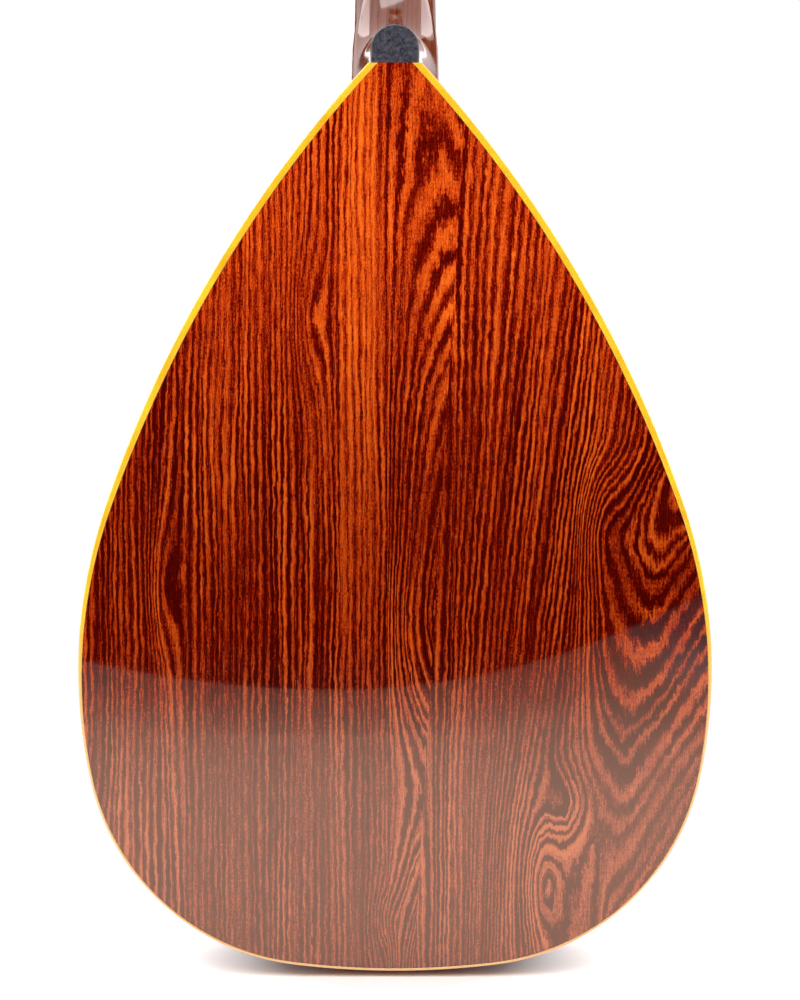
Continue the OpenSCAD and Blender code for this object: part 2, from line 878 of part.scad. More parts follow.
module tailpiece_base() {
    half = tailpiece_w / 2;
    long = tailpiece_l + sheet_t;
    deep = tailpiece_drop + sheet_t;
    color("silver") upright() difference() {
        union() {
            translate([-half, -sheet_t, body_d]) cube([tailpiece_w, long, sheet_t]);
            translate([-half, -sheet_t, body_d - tailpiece_drop]) cube([tailpiece_w, sheet_t, deep]);
            both_sides() translate([half - sheet_t, -sheet_t, body_d])
                cube([sheet_t, long, sheet_t + tail_wall_h]);
            for (s = [0:7]) translate([spread(s, tail_course, tail_pair), hook_y, body_d + sheet_t]) hook();
        }
        tail_screw_shanks(glue);
    }
}

module cover_arch(inset) {
    half = cover_w / 2;
    arch_r = (half * half + cover_rise * cover_rise) / (2 * cover_rise);
    intersection() {
        translate([inset - half, 0]) square([cover_w - 2 * inset, cover_h]);
        translate([0, cover_h - arch_r]) circle(arch_r - inset, $fn = outline_fn);
    }
}

// Sheet cover, closed at the tail and bowed where the strings come out
module tailpiece_cover() {
    end_y = -sheet_t - cover_gap - sheet_t;
    inner_l = cover_l - end_y - sheet_t;
    color("silver") upright() translate([0, 0, cover_z]) intersection() {
        difference() {
            translate([0, end_y + cover_l, 0]) rotate([90, 0, 0]) linear_extrude(cover_l) cover_arch(0);
            translate([0, cover_l, -sheet_t]) rotate([90, 0, 0])
                linear_extrude(inner_l) cover_arch(sheet_t);
        }
        union() {
            translate([-cover_w, end_y - 1, -1]) cube([2 * cover_w, tailpiece_l - cover_over, 2 * cover_h]);
            translate([0, end_y + cover_l - cover_bow_r, -1])
                cylinder(r = cover_bow_r, h = 2 * cover_h, $fn = outline_fn);
        }
    }
}

// Strings
module strings(first, last) {
    for (s = [first:last]) tube(string_route(s), string_r[course_of(s)]);
}

module plain_strings() {
    color("silver") upright() strings(4, 7);
}

module wound_strings() {
    color("peru") upright() strings(0, 3);
}

// Tuning machines: 1 to 4 up the bass side, 5 to 8 up the treble side
function tuner_side(t) = t <= 4 ? -1 : 1;
function tuner_row(t) = (t - 1) % 4;

module at_tuner(t) {
    in_head() translate([tuner_side(t) * post_x, post_v(tuner_row(t)), 0]) children();
}

module to_side(t) {
    mirror([tuner_side(t) < 0 ? 1 : 0, 0, 0]) children();
}

module on_worm_axis() {
    translate([0, centre_d, wheel_mid]) children();
}

module x_cylinder(r, x0, x1) {
    translate([x0, 0, 0]) rotate([0, 90, 0]) cylinder(r = r, h = x1 - x0);
}

lug_x = worm_l / 2 + lug_gap;
button_x = head_w / 2 + button_gap - post_x;

module lug(x) {
    translate([x, 0, 0]) difference() {
        union() {
            translate([0, centre_d - lug_r, wheel_mid]) cube([lug_t, 2 * lug_r, worm_lift]);
            on_worm_axis() x_cylinder(lug_r, 0, lug_t);
        }
        on_worm_axis() x_cylinder(shaft_r + run, -1, lug_t + 1);
    }
}

module at_plate_screws() {
    for (side = [-1, 1]) {
        translate([side * post_x, first_post_v - screw_before, 0]) children();
        for (row = [0:3]) translate([side * post_x, post_v(row) + screw_after, 0]) children();
    }
}

module plate_screw_shank(clear = 0) {
    translate([0, 0, plate_back - 1]) cylinder(r = plate_screw_r + clear, h = plate_screw_l + clear + 1);
}

module tuner_plate(hand) {
    color("silver") upright() in_head() {
        difference() {
            translate([hand * plate_x - plate_w / 2, plate_start_v, plate_back])
                cube([plate_w, plate_end_v - plate_start_v, plate_t]);
            at_posts() translate([0, 0, -2 * head_t]) cylinder(r = post_r + run, h = 2 * head_t);
            at_plate_screws() plate_screw_shank(glue);
        }
        for (row = [0:3]) translate([hand * post_x, post_v(row), 0]) {
            lug(lug_x);
            lug(-lug_x - lug_t);
        }
    }
}

module tuner_plate_screws() {
    color("silver") upright() in_head() at_plate_screws() {
        translate([0, 0, plate_back]) {
            cylinder(r = plate_screw_r, h = plate_screw_l);
            translate([0, 0, -plate_screw_head_t]) cylinder(r = plate_screw_head_r, h = plate_screw_head_t);
        }
    }
}

module post_bushings() {
    color("silver") upright() in_head() at_posts() rotate_extrude() polygon([
        [post_r + run, -bush_l], [bush_r, -bush_l], [bush_r, 0],
        [bush_flange_r, 0], [bush_flange_r, bush_flange_t], [post_r + run, bush_flange_t]
    ]);
}

// Right-hand thread about x, whose crest faces the wheel at x = 0
function thread_ring(x) =
    let (a = 180 + 360 * x / axial_pitch, foot = worm_core_r - thread_sink, crest = worm_r + addendum)
    [
        for (p = [
            [-thread_root_half, foot], [thread_root_half, foot],
            [thread_tip_half, crest], [-thread_tip_half, crest]
        ]) [x + p.x, p.y * cos(a), p.y * sin(a)]
    ];

module worm_thread() {
    reach = worm_l / 2 - thread_root_half;
    steps = ceil(2 * reach / axial_pitch * thread_steps);
    loft([for (i = [0:steps]) thread_ring(-reach + 2 * reach * i / steps)]);
}

module worm_shaft(t) {
    inner = -lug_x - lug_t - lug_gap / 2;
    outer = button_x + button_bore;
    color("gray") upright() at_tuner(t) on_worm_axis() {
        worm_thread();
        x_cylinder(worm_core_r, -worm_l / 2, worm_l / 2);
        to_side(t) {
            x_cylinder(shaft_r, inner, outer);
            x_cylinder(shaft_head_r, inner - shaft_head_t, inner);
        }
    }
}

// Oval button: where five spheres overlap, on a short stem
module button(t) {
    long_r = button_l / 2;
    edge_r = button_w;
    face_r = button_l;
    stem_r = 2.6;
    stem_l = 3;
    color("ivory") upright() at_tuner(t) on_worm_axis() to_side(t) difference() {
        union() {
            translate([button_x + stem_l / 3 + long_r, 0, 0]) intersection() {
                sphere(long_r);
                intersection_for (y = [-1, 1])
                    translate([0, y * (edge_r - button_w / 2), 0]) sphere(edge_r);
                intersection_for (z = [-1, 1])
                    translate([0, 0, z * (face_r - button_t / 2)]) sphere(face_r);
            }
            x_cylinder(stem_r, button_x, button_x + stem_l);
        }
        x_cylinder(shaft_r + glue / 2, button_x - 1, button_x + button_bore + glue);
    }
}

// Wheel with straight teeth, a gap facing the worm
module wheel_plan() {
    step = 360 / wheel_teeth;
    tip_r = wheel_pitch_r + addendum;
    root_r = wheel_pitch_r - dedendum;
    tip = asin(tooth_tip_half / tip_r);
    root = asin(tooth_root_half / root_r);
    polygon([
        for (i = [0:wheel_teeth - 1]) let (a = 90 + step * (i + 0.5)) each [
            polar(root_r, a - root), polar(tip_r, a - tip),
            polar(tip_r, a + tip), polar(root_r, a + root)
        ]
    ]);
}

module string_post(t) {
    wheel_back = wheel_mid - wheel_t / 2;
    screw_back = wheel_back - wheel_screw_t;
    collar_w = bush_flange_t + post_collar;
    head_w0 = post_h - post_head_h;
    slot = 0.7;
    color("silver") upright() at_tuner(t) difference() {
        union() {
            slab(wheel_back, wheel_back + wheel_t) wheel_plan();
            rotate_extrude() polygon([
                [0, screw_back], [wheel_screw_r, screw_back], [wheel_screw_r, wheel_back],
                [hub_r, wheel_back], [hub_r, plate_back - run], [post_r, plate_back - run],
                [post_r, collar_w], [waist_r, collar_w + post_collar],
                [waist_r, head_w0 - post_collar], [post_r, head_w0],
                [post_r, post_h - post_bevel], [post_r - post_bevel, post_h], [0, post_h]
            ]);
        }
        translate([0, 0, string_hole_w]) x_cylinder(string_hole_r, -2 * post_r, 2 * post_r);
        translate([-2 * post_r, -slot / 2, screw_back - 1]) cube([4 * post_r, slot, 1 + slot]);
    }
}

back_plate();
back_binding();
soundboard();
top_binding();
rosette();
side(-1);  // side_bass
side(1);  // side_treble
neck_block();
tail_block();
back_linings();
top_linings();
back_braces();
top_braces();
pickguard();
neck();
heel_cap();
fretboard_wedge();
fretboard();
frets();
position_dots();
nut();
headstock_overlay();
bridge_base();
bridge_posts();
bridge_saddle();
thumbwheel(-1);  // thumbwheel_bass
thumbwheel(1);  // thumbwheel_treble
tailpiece_base();
tailpiece_cover();
tailpiece_screws();
plain_strings();
wound_strings();
tuner_plate(-1);  // tuner_plate_bass
tuner_plate(1);  // tuner_plate_treble
tuner_plate_screws();
post_bushings();
for (t = [1:8]) {
    worm_shaft(t);
    button(t);
    string_post(t);
}
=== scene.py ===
"""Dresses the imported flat-backed mandolin: finishes, swept trim, strings, fittings, studio and camera.

Sizes in the classes are millimetres in the row frame: X across, +Y out of the back, +Z along the neck.
"""

import json
import logging
import math
from dataclasses import KW_ONLY, dataclass
from enum import Enum
from typing import Any, Iterable, Optional, Sequence

import bmesh
import bpy
from mathutils import Matrix, Vector

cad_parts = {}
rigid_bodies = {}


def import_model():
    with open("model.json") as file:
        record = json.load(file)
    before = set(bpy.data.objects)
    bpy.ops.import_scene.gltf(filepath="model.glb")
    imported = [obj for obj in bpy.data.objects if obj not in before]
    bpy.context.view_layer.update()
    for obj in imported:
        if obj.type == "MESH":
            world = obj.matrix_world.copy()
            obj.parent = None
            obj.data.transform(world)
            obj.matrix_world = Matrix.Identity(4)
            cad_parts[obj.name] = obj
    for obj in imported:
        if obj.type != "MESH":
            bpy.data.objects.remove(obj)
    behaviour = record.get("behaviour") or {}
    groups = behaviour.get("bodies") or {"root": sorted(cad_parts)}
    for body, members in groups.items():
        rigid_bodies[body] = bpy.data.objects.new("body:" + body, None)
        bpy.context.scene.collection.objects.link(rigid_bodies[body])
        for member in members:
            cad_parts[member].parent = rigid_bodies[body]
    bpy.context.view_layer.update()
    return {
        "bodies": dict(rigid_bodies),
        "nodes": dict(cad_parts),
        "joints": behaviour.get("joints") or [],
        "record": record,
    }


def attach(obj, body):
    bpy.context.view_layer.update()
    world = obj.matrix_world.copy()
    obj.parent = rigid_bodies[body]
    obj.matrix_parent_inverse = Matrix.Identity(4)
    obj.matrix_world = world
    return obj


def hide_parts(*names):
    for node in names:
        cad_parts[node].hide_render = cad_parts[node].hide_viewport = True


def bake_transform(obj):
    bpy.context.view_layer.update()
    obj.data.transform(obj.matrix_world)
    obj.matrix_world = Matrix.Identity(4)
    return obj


LOG = logging.getLogger("mandolin")
MM = 0.001
SQUARE = ((-1, -1), (1, -1), (1, 1), (-1, 1))
BUMP_DEPTH = 0.0001
MERGE = 0.00001
Node = bpy.types.Node
Mesh = bpy.types.Mesh
Colour = tuple[float, float, float, float]
Point = tuple[float, float, float]
Span = tuple[float, float]
Stops = Sequence[tuple[float, str]]


def linear(hex_colour: str) -> Colour:
    """Turns an sRGB hex colour into linear light.

    Args:
        hex_colour: six hex digits after a hash.

    Returns:
        Red, green, blue and an alpha of 1.
    """
    parts = [int(hex_colour[i : i + 2], 16) / 255 for i in (1, 3, 5)]
    light = [p / 12.92 if p <= 0.04045 else ((p + 0.055) / 1.055) ** 2.4 for p in parts]
    return (light[0], light[1], light[2], 1.0)


def metres(point: Sequence[float]) -> Vector:
    """Turns a point in millimetres into metres."""
    return Vector(point) * MM


def polar(radius: float, angle: float) -> Vector:
    """Gives the flat vector of a radius at an angle."""
    return Vector((radius * math.cos(angle), radius * math.sin(angle)))


def ease(value: float, start: float, stop: float) -> float:
    """Rises smoothly from 0 to 1 as a value goes from start to stop."""
    share = min(max((value - start) / (stop - start), 0.0), 1.0)
    return share * share * (3 - 2 * share)


class Graph:
    """A node tree with short calls for the nodes that recur.

    A value is a number, a vector, a colour, a socket, or a node, which gives its first live output.
    """

    def __init__(self, tree: bpy.types.NodeTree) -> None:
        """Takes the tree that gets the nodes."""
        self.tree = tree

    def fill(self, node: Node, inputs: dict) -> None:
        """Sets or links a node's inputs.

        Args:
            node: the node.
            inputs: values by socket name or number.
        """
        for key, value in inputs.items():
            if isinstance(value, Node):
                value = next(socket for socket in value.outputs if socket.enabled)
            if isinstance(value, bpy.types.NodeSocket):
                self.tree.links.new(value, node.inputs[key])
            else:
                node.inputs[key].default_value = value

    def add(self, kind: str, inputs: Optional[dict] = None, **settings: Any) -> Node:
        """Adds one node.

        Args:
            kind: the node's type name.
            inputs: values by socket name or number.
            settings: the node's properties.

        Returns:
            The new node.
        """
        node = self.tree.nodes.new(kind)
        for name, value in settings.items():
            setattr(node, name, value)
        self.fill(node, inputs or {})
        return node

    def math(self, operation: str, *values: Any) -> Node:
        """Works on numbers."""
        return self.add("ShaderNodeMath", dict(enumerate(values)), operation=operation)

    def times(self, first: Any, second: Any, *more: Any) -> Node:
        """Multiplies two numbers, and adds a third if there is one."""
        return self.math("MULTIPLY_ADD" if more else "MULTIPLY", first, second, *more)

    def span(self, value: Any, *ends: Any, **settings: Any) -> Node:
        """Maps a value from one span onto another, which is 0 to 1 if only one is given."""
        return self.add("ShaderNodeMapRange", dict(enumerate((value, *ends))), **settings)

    def ease(self, value: Any, *ends: Any) -> Node:
        """Maps a value as span does, with soft ends."""
        return self.span(value, *ends, interpolation_type="SMOOTHSTEP")

    def mix(self, share: Any, first: Any, second: Any) -> Node:
        """Mixes two numbers."""
        return self.add("ShaderNodeMix", {0: share, 2: first, 3: second})

    def tint(self, share: Any, first: Any, second: Any) -> Node:
        """Mixes two colours."""
        return self.add("ShaderNodeMix", {0: share, 6: first, 7: second}, data_type="RGBA")

    def vector(self, operation: str, *values: Any) -> Node:
        """Works on vectors."""
        return self.add("ShaderNodeVectorMath", dict(enumerate(values)), operation=operation)

    def scaled(self, vector: Any, share: Any) -> Node:
        """Scales a vector or a colour."""
        return self.add("ShaderNodeVectorMath", {0: vector, "Scale": share}, operation="SCALE")

    def xyz(self, **parts: Any) -> Node:
        """Makes a vector of its parts."""
        return self.add("ShaderNodeCombineXYZ", parts)

    def axes(self, vector: Any) -> Any:
        """Takes a vector apart into its X, Y and Z."""
        return self.add("ShaderNodeSeparateXYZ", {0: vector}).outputs

    def place(self) -> Node:
        """Gives the Object coordinate in millimetres."""
        return self.scaled(self.add("ShaderNodeTexCoord").outputs["Object"], 1 / MM)

    def flat(self, place: Any, wide: float, tall: float) -> Node:
        """Counts a place in widths across and heights along, with no depth."""
        return self.vector("MULTIPLY", place, (1 / wide, 0.0, 1 / tall))

    def noise(self, place: Any, size: float = 1.0, detail: float = 1.0, **more: Any) -> Node:
        """Makes noise with features of a size."""
        return self.add("ShaderNodeTexNoise", {"Vector": place, "Scale": 1 / size, "Detail": detail, **more})

    def bump(self, height: Any, strength: float) -> Node:
        """Raises the surface a little."""
        return self.add("ShaderNodeBump", {"Height": height, "Strength": strength, "Distance": BUMP_DEPTH})

    def ramp(self, value: Any, stops: Stops, blend: str = "LINEAR") -> Node:
        """Gives colours to a value.

        Args:
            value: the value, from 0 to 1.
            stops: places from 0 to 1 with their hex colours, in order.
            blend: LINEAR, or CONSTANT for sharp steps.

        Returns:
            The ramp.
        """
        node = self.add("ShaderNodeValToRGB", {0: value})
        node.color_ramp.interpolation = blend
        elements = node.color_ramp.elements
        while len(elements) < len(stops):
            elements.new(0.5)
        for element, (place, colour) in zip(elements, stops):
            element.position = place
            element.color = linear(colour)
        return node


def open_material(name: str) -> tuple[bpy.types.Material, Graph]:
    """Makes a material with an empty graph.

    Args:
        name: the material's common name.

    Returns:
        The material and its graph.
    """
    made = bpy.data.materials.new(name)
    made.use_nodes = True
    made.node_tree.nodes.clear()
    return made, Graph(made.node_tree)


class Axis(Enum):
    """The way in which a piece's grain runs."""

    ACROSS = 0
    DEEP = 1
    LONG = 2


@dataclass(frozen=True)
class Finish:
    """What a surface is made of. Subclasses paint it.

    Attributes:
        name: the material's common name.
        slot: the record's material slot.
        roughness: of the surface under any lacquer.
        sheen: noise levels of the smoothest and the roughest spots, and what they add to the roughness.
        coat: weight of the lacquer.
        polish: roughness of the lacquer.
        lacquer: refraction of the lacquer, raised over a real 1.5 for the wet look of many coats.
    """

    name: str
    slot: str
    _: KW_ONLY
    roughness: float = 0.22
    sheen: tuple[float, ...] = (0.3, 0.7, -0.05, 0.07)
    coat: float = 0.0
    polish: float = 0.03
    lacquer: float = 1.5

    def material(self) -> bpy.types.Material:
        """Makes the material once, and gives the same one after that.

        Returns:
            The painted material.
        """
        found = bpy.data.materials.get(self.name)
        if found:
            return found
        made, g = open_material(self.name)
        coat = {"Coat Weight": self.coat, "Coat Roughness": self.polish, "Coat IOR": self.lacquer}
        shader = g.add("ShaderNodeBsdfPrincipled", {**coat, **self.paint(g, g.place())})
        g.add("ShaderNodeOutputMaterial", {"Surface": shader})
        return made

    def paint(self, g: Graph, place: Node) -> dict[str, Any]:
        """Works out the surface.

        Args:
            g: the material's graph.
            place: the Object coordinate in millimetres.

        Returns:
            Values by the names of the principled shader's inputs.
        """
        raise NotImplementedError

    def rough(self, g: Graph, noise: Node) -> Node:
        """Varies the roughness by a noise."""
        low, high, under, over = self.sheen
        return g.span(noise, low, high, self.roughness + under, self.roughness + over)


@dataclass(frozen=True)
class Swirl:
    """A knot or swirl that bends the veneer's rings, seen from the back.

    Attributes:
        right: place to the right of the centreline.
        up: place along the neck.
        wide: spread across.
        tall: spread along.
        rise: how far it pushes the rings.
        hold: share by which it spreads the rings apart.
    """

    right: float
    up: float
    wide: float
    tall: float
    rise: float
    hold: float


# Rotary-cut tropical veneer under thick gloss lacquer: dark growth lines with ragged edges on red-brown,
# which open into arches, a nest of Vs and a knot; a clear coat that mirrors the studio.
@dataclass(frozen=True)
class BackVeneer(Finish):
    """The striped veneer of the back.

    Attributes:
        stops: colours from the dark lines to the pale bands.
        painted_haze_stops: the same towards the tail, paler and duller as a painted reflection of the bright
            haze in the lacquer.
        swirls: the knots that bend the rings.
        ring, ring_weight: spacing of the growth rings, and how much they count.
        ring_drift: how far the broad bands shift them, in radians.
        layers: width, length and weight of the bands, stripes, lines, fibres and pores.
        fibres: the same of the straight fibres and of the specks between them.
        sway: width, length and size of the rings' unevenness.
        heart: left and right edge of the column of arches, and the right one's drift per millimetre.
        heart_pace: least and most rings in the column, against straight ones.
        heart_bend: power that gathers the arches at the column's left edge.
        heart_wave: length of one wave of arches, the place where they turn, and its haste below that.
        plain: middle, spread and lift of the plain column beside the arches.
        plain_edge, plain_low: its soft edge in spreads, and the places between which it starts.
        plain_calm: its contrast.
        nest: middle, height and slope of the nest of Vs on the right.
        nest_drift, nest_pace: its drift per millimetre, and its rings against straight ones.
        nest_round: radius of the Vs' points.
        nest_left, nest_top: places between which it starts on the left, and ends above.
        lean, lean_from: slope of the stripes on the right, and the places between which it starts.
        clear, clear_edge: middle and reach of the bold figure round the knot, and its edge in reaches.
        clear_contrast, clear_lift: its contrast, and how much paler it is.
        patch: width and length of the patches of weak and strong contrast.
        patch_contrast: noise levels of the weakest and the strongest patch, and their contrasts.
        tone: place of the middle tone among the stops.
        high: places between which the wood changes towards the heel.
        high_lift, high_gain: how much paler and how much brighter it is there.
        painted_haze_ramp: places over which the painted haze grows towards the tail, and its share before
            and after.
        pits: noise levels between which pores open, and the colour's gain before and after.
        pit_depth: strength of the pores' bump.
    """

    stops: Stops
    painted_haze_stops: Stops
    swirls: tuple[Swirl, ...]
    ring: float = 2.5
    ring_weight: float = 0.44
    ring_drift: float = 14.0
    layers: tuple[Point, ...] = (
        (9.0, 220.0, 0.5), (1.9, 150.0, 0.8), (0.85, 80.0, 0.4), (0.32, 14.0, 0.4), (0.5, 1.8, 0.4),
    )
    fibres: tuple[Point, ...] = ((0.5, 7.0, 0.5), (0.38, 1.0, 0.55))
    sway: tuple[Point, ...] = ((60.0, 150.0, 7.0), (11.0, 55.0, 2.4), (2.5, 9.0, 1.6), (0.8, 3.2, 1.2))
    heart: Point = (-3.0, 16.5, 0.06)
    heart_pace: Span = (0.4, 1.4)
    heart_bend: float = 0.7
    heart_wave: Point = (390.0, -14.0, 2.6)
    plain: Point = (-14.0, 7.0, 0.1)
    plain_edge: Span = (1.3, 0.7)
    plain_low: Span = (-70.0, -20.0)
    plain_calm: float = 0.7
    nest: Point = (93.0, -50.0, 0.45)
    nest_drift: float = 0.15
    nest_pace: float = 0.42
    nest_round: float = 4.0
    nest_left: Span = (66.0, 84.0)
    nest_top: Span = (5.0, 50.0)
    lean: float = 0.12
    lean_from: Span = (5.0, 70.0)
    clear: tuple[float, float, float, float] = (62.0, -118.0, 20.0, 46.0)
    clear_edge: Span = (1.0, 0.5)
    clear_contrast: float = 1.5
    clear_lift: float = 0.1
    patch: Span = (26.0, 70.0)
    patch_contrast: tuple[float, ...] = (0.35, 0.65, 0.4, 1.1)
    tone: float = 0.46
    high: Span = (0.0, 150.0)
    high_lift: float = 0.08
    high_gain: float = 0.6
    painted_haze_ramp: tuple[float, ...] = (-25.0, -85.0, 0.0, 0.75)
    pits: tuple[float, ...] = (0.55, 0.68, 1.0, 0.6)
    pit_depth: float = 0.1

    def rings(self, g: Graph, place: Node) -> Node:
        """Works out the ring field, in millimetres, that the stripes follow.

        Args:
            g: the material's graph.
            place: the Object coordinate in millimetres.

        Returns:
            The node whose value is the ring.
        """
        axes = g.axes(place)
        up = axes["Z"]
        right = g.times(axes["X"], -1.0)
        left_edge, right_edge, drift = self.heart
        length, middle, haste = self.heart_wave
        wave = g.times(up, math.tau / length, -middle * math.tau / length)
        wave = g.math("COSINE", g.math("MINIMUM", wave, g.times(wave, haste)))
        pace = g.span(wave, -1.0, 1.0, *self.heart_pace)
        border = g.times(up, drift, right_edge)
        bent = g.math("POWER", g.span(right, left_edge, border), self.heart_bend)
        arches = g.times(bent, right_edge - left_edge)
        inside = g.times(arches, pace, g.math("MINIMUM", right, left_edge))
        now = g.mix(g.math("GREATER_THAN", right, border), inside, right)
        now = g.times(g.ease(right, *self.lean_from, 0.0, -self.lean), up, now)
        middle, height, arm = self.nest
        axis = g.times(up, self.nest_drift, middle - self.nest_drift * height)
        away = g.math("SUBTRACT", right, axis)
        away = g.math("SQRT", g.times(away, away, self.nest_round**2))
        nest = g.math("SUBTRACT", g.times(up, arm, -arm * height), away)
        nest = g.times(nest, self.nest_pace, middle)
        held = g.times(g.ease(right, *self.nest_left), g.ease(up, *self.nest_top, 1.0, 0.0))
        now = g.mix(held, now, nest)
        for swirl in self.swirls:
            away = g.vector("SUBTRACT", place, (-swirl.right, 0.0, swirl.up))
            away = g.flat(away, swirl.wide, swirl.tall)
            fall = g.math("POWER", math.e, g.times(g.vector("DOT_PRODUCT", away, away), -1.0))
            straight = swirl.right - self.lean * ease(swirl.right, *self.lean_from) * swirl.up
            push = g.times(g.math("SUBTRACT", straight, now), swirl.hold, swirl.rise)
            now = g.times(push, fall, now)
        return self.roughened(g, place, now, self.sway)

    def roughened(self, g: Graph, place: Node, value: Any, grains: Iterable[Point]) -> Any:
        """Adds grains of noise to a value and keeps its mean.

        Args:
            g: the material's graph.
            place: the Object coordinate in millimetres.
            value: the value.
            grains: width, length and weight of each.

        Returns:
            The uneven value.
        """
        for wide, long, weight in grains:
            noise = g.noise(g.flat(place, wide, long))
            value = g.times(noise, weight, g.math("ADD", value, -weight / 2))
        return value

    def paint(self, g: Graph, place: Node) -> dict[str, Any]:
        """Paints stripes, pores and lacquer.

        Args:
            g: the material's graph.
            place: the Object coordinate in millimetres.

        Returns:
            Values by the names of the shader's inputs.
        """
        axes = g.axes(place)
        up = axes["Z"]
        ring = self.rings(g, place)
        tone: Any = -0.5 * sum(weight for *_, weight in self.layers) - 0.5 * self.ring_weight
        layers = []
        for wide, long, weight in self.layers:
            spot = g.xyz(X=g.times(ring, 1 / wide), Y=g.times(up, 1 / long))
            layers.append(g.noise(spot, detail=2.0))
            tone = g.times(layers[-1], weight, tone)
        turn = g.times(layers[0], self.ring_drift, g.times(ring, math.tau / self.ring))
        tone = g.times(g.span(g.math("SINE", turn), -1.0, 1.0), self.ring_weight, tone)
        middle, spread, lift = self.plain
        away = g.math("ABSOLUTE", g.times(axes["X"], 1 / spread, middle / spread))
        plain = g.times(g.ease(away, *self.plain_edge), g.ease(up, *self.plain_low))
        contrast = g.span(g.noise(g.flat(place, *self.patch)), *self.patch_contrast)
        contrast = g.times(contrast, g.span(plain, 0.0, 1.0, 1.0, self.plain_calm))
        right, level, *reach = self.clear
        away = g.flat(g.vector("SUBTRACT", place, (-right, 0.0, level)), *reach)
        clear = g.ease(g.vector("LENGTH", away), *self.clear_edge)
        contrast = g.mix(clear, contrast, self.clear_contrast)
        tone = g.times(tone, contrast, g.times(clear, self.clear_lift, self.tone))
        tone = self.roughened(g, place, tone, self.fibres)
        high = g.ease(up, *self.high)
        tone = g.times(high, self.high_lift, g.times(plain, lift, tone))
        # Towards the tail the colours turn paler and duller: a painted reflection of the bright haze in the
        # lacquer.
        colour = g.tint(g.ease(up, *self.painted_haze_ramp), g.ramp(tone, self.stops), g.ramp(tone, self.painted_haze_stops))
        gain = g.times(g.times(high, self.high_gain, 1.0), g.span(layers[-1], *self.pits))
        return {
            "Base Color": g.scaled(colour, gain),
            "Normal": g.bump(layers[-1], self.pit_depth),
            "Roughness": self.roughness,
            "Specular IOR Level": 0.0,
        }


# Straight-grained wood: growth rings as thin darker lines with a sharp outer edge, short pores along the
# grain, and a slow change of tone from one side of the board to the other.
@dataclass(frozen=True)
class Timber(Finish):
    """Sawn or bent wood with straight grain.

    Attributes:
        pale: colour between the rings.
        dark: colour of the rings.
        along: the way the grain runs.
        across: the way in which rings follow each other.
        ring: spacing of the rings.
        matched: whether two halves mirror each other at the centreline.
        pore: strength of the dark pores.
        wander: how far the rings sway.
        tone: size of the slow change of tone, and its weight.
        uneven: how far the rings' spacing varies, and over how many rings.
        late: sharpness and strength of the rings' outer edges.
        fibre: width and length of a fibre.
        pits: noise levels between which pores open.
        curl: how far the slow change moves the fibres.
        depth: strength of the fibres' bump.
        levels: sums of rings, pores and tone that are pale and dark.
    """

    pale: str
    dark: str
    along: Axis = Axis.LONG
    across: Axis = Axis.ACROSS
    ring: float = 1.4
    matched: bool = False
    pore: float = 0.2
    wander: float = 2.0
    tone: Span = (70.0, 0.5)
    uneven: Span = (4.0, 6.0)
    late: Span = (3.0, 1.3)
    fibre: Span = (0.35, 9.0)
    pits: Span = (0.58, 0.72)
    curl: float = 3.0
    depth: float = 0.15
    levels: Span = (0.15, 1.1)
    _: KW_ONLY
    sheen: tuple[float, ...] = (0.3, 0.7, -0.06, 0.08)

    def paint(self, g: Graph, place: Node) -> dict[str, Any]:
        """Paints rings, pores and tone.

        Args:
            g: the material's graph.
            place: the Object coordinate in millimetres.

        Returns:
            Values by the names of the shader's inputs.
        """
        axes = g.axes(place)
        side: Any = axes[self.across.value]
        if self.matched:
            side = g.math("ABSOLUTE", side)
        slow = g.noise(place, self.tone[0])
        side = g.times(slow, self.wander, side)
        pace = {"W": g.times(side, 1 / (self.uneven[1] * self.ring)), "Scale": 1.0, "Detail": 1.0}
        pace = g.add("ShaderNodeTexNoise", pace, noise_dimensions="1D")
        phase = g.math("FRACT", g.times(pace, self.uneven[0], g.times(side, 1 / self.ring)))
        late = g.times(g.math("POWER", phase, self.late[0]), g.times(pace, self.late[1]))
        wide, long = self.fibre
        run = g.times(axes[self.along.value], 1 / long)
        fibre = g.noise(g.xyz(X=g.times(side, 1 / wide), Y=run, Z=g.times(slow, self.curl)), detail=2.0)
        dark = g.math("ADD", late, g.span(fibre, *self.pits, 0.0, self.pore))
        dark = g.span(g.times(slow, self.tone[1], dark), *self.levels)
        return {
            "Base Color": g.ramp(dark, ((0.0, self.pale), (1.0, self.dark))),
            "Normal": g.bump(fibre, self.depth),
            "Roughness": self.rough(g, fibre),
            "Specular IOR Level": 0.5 * (1 - self.coat),
        }


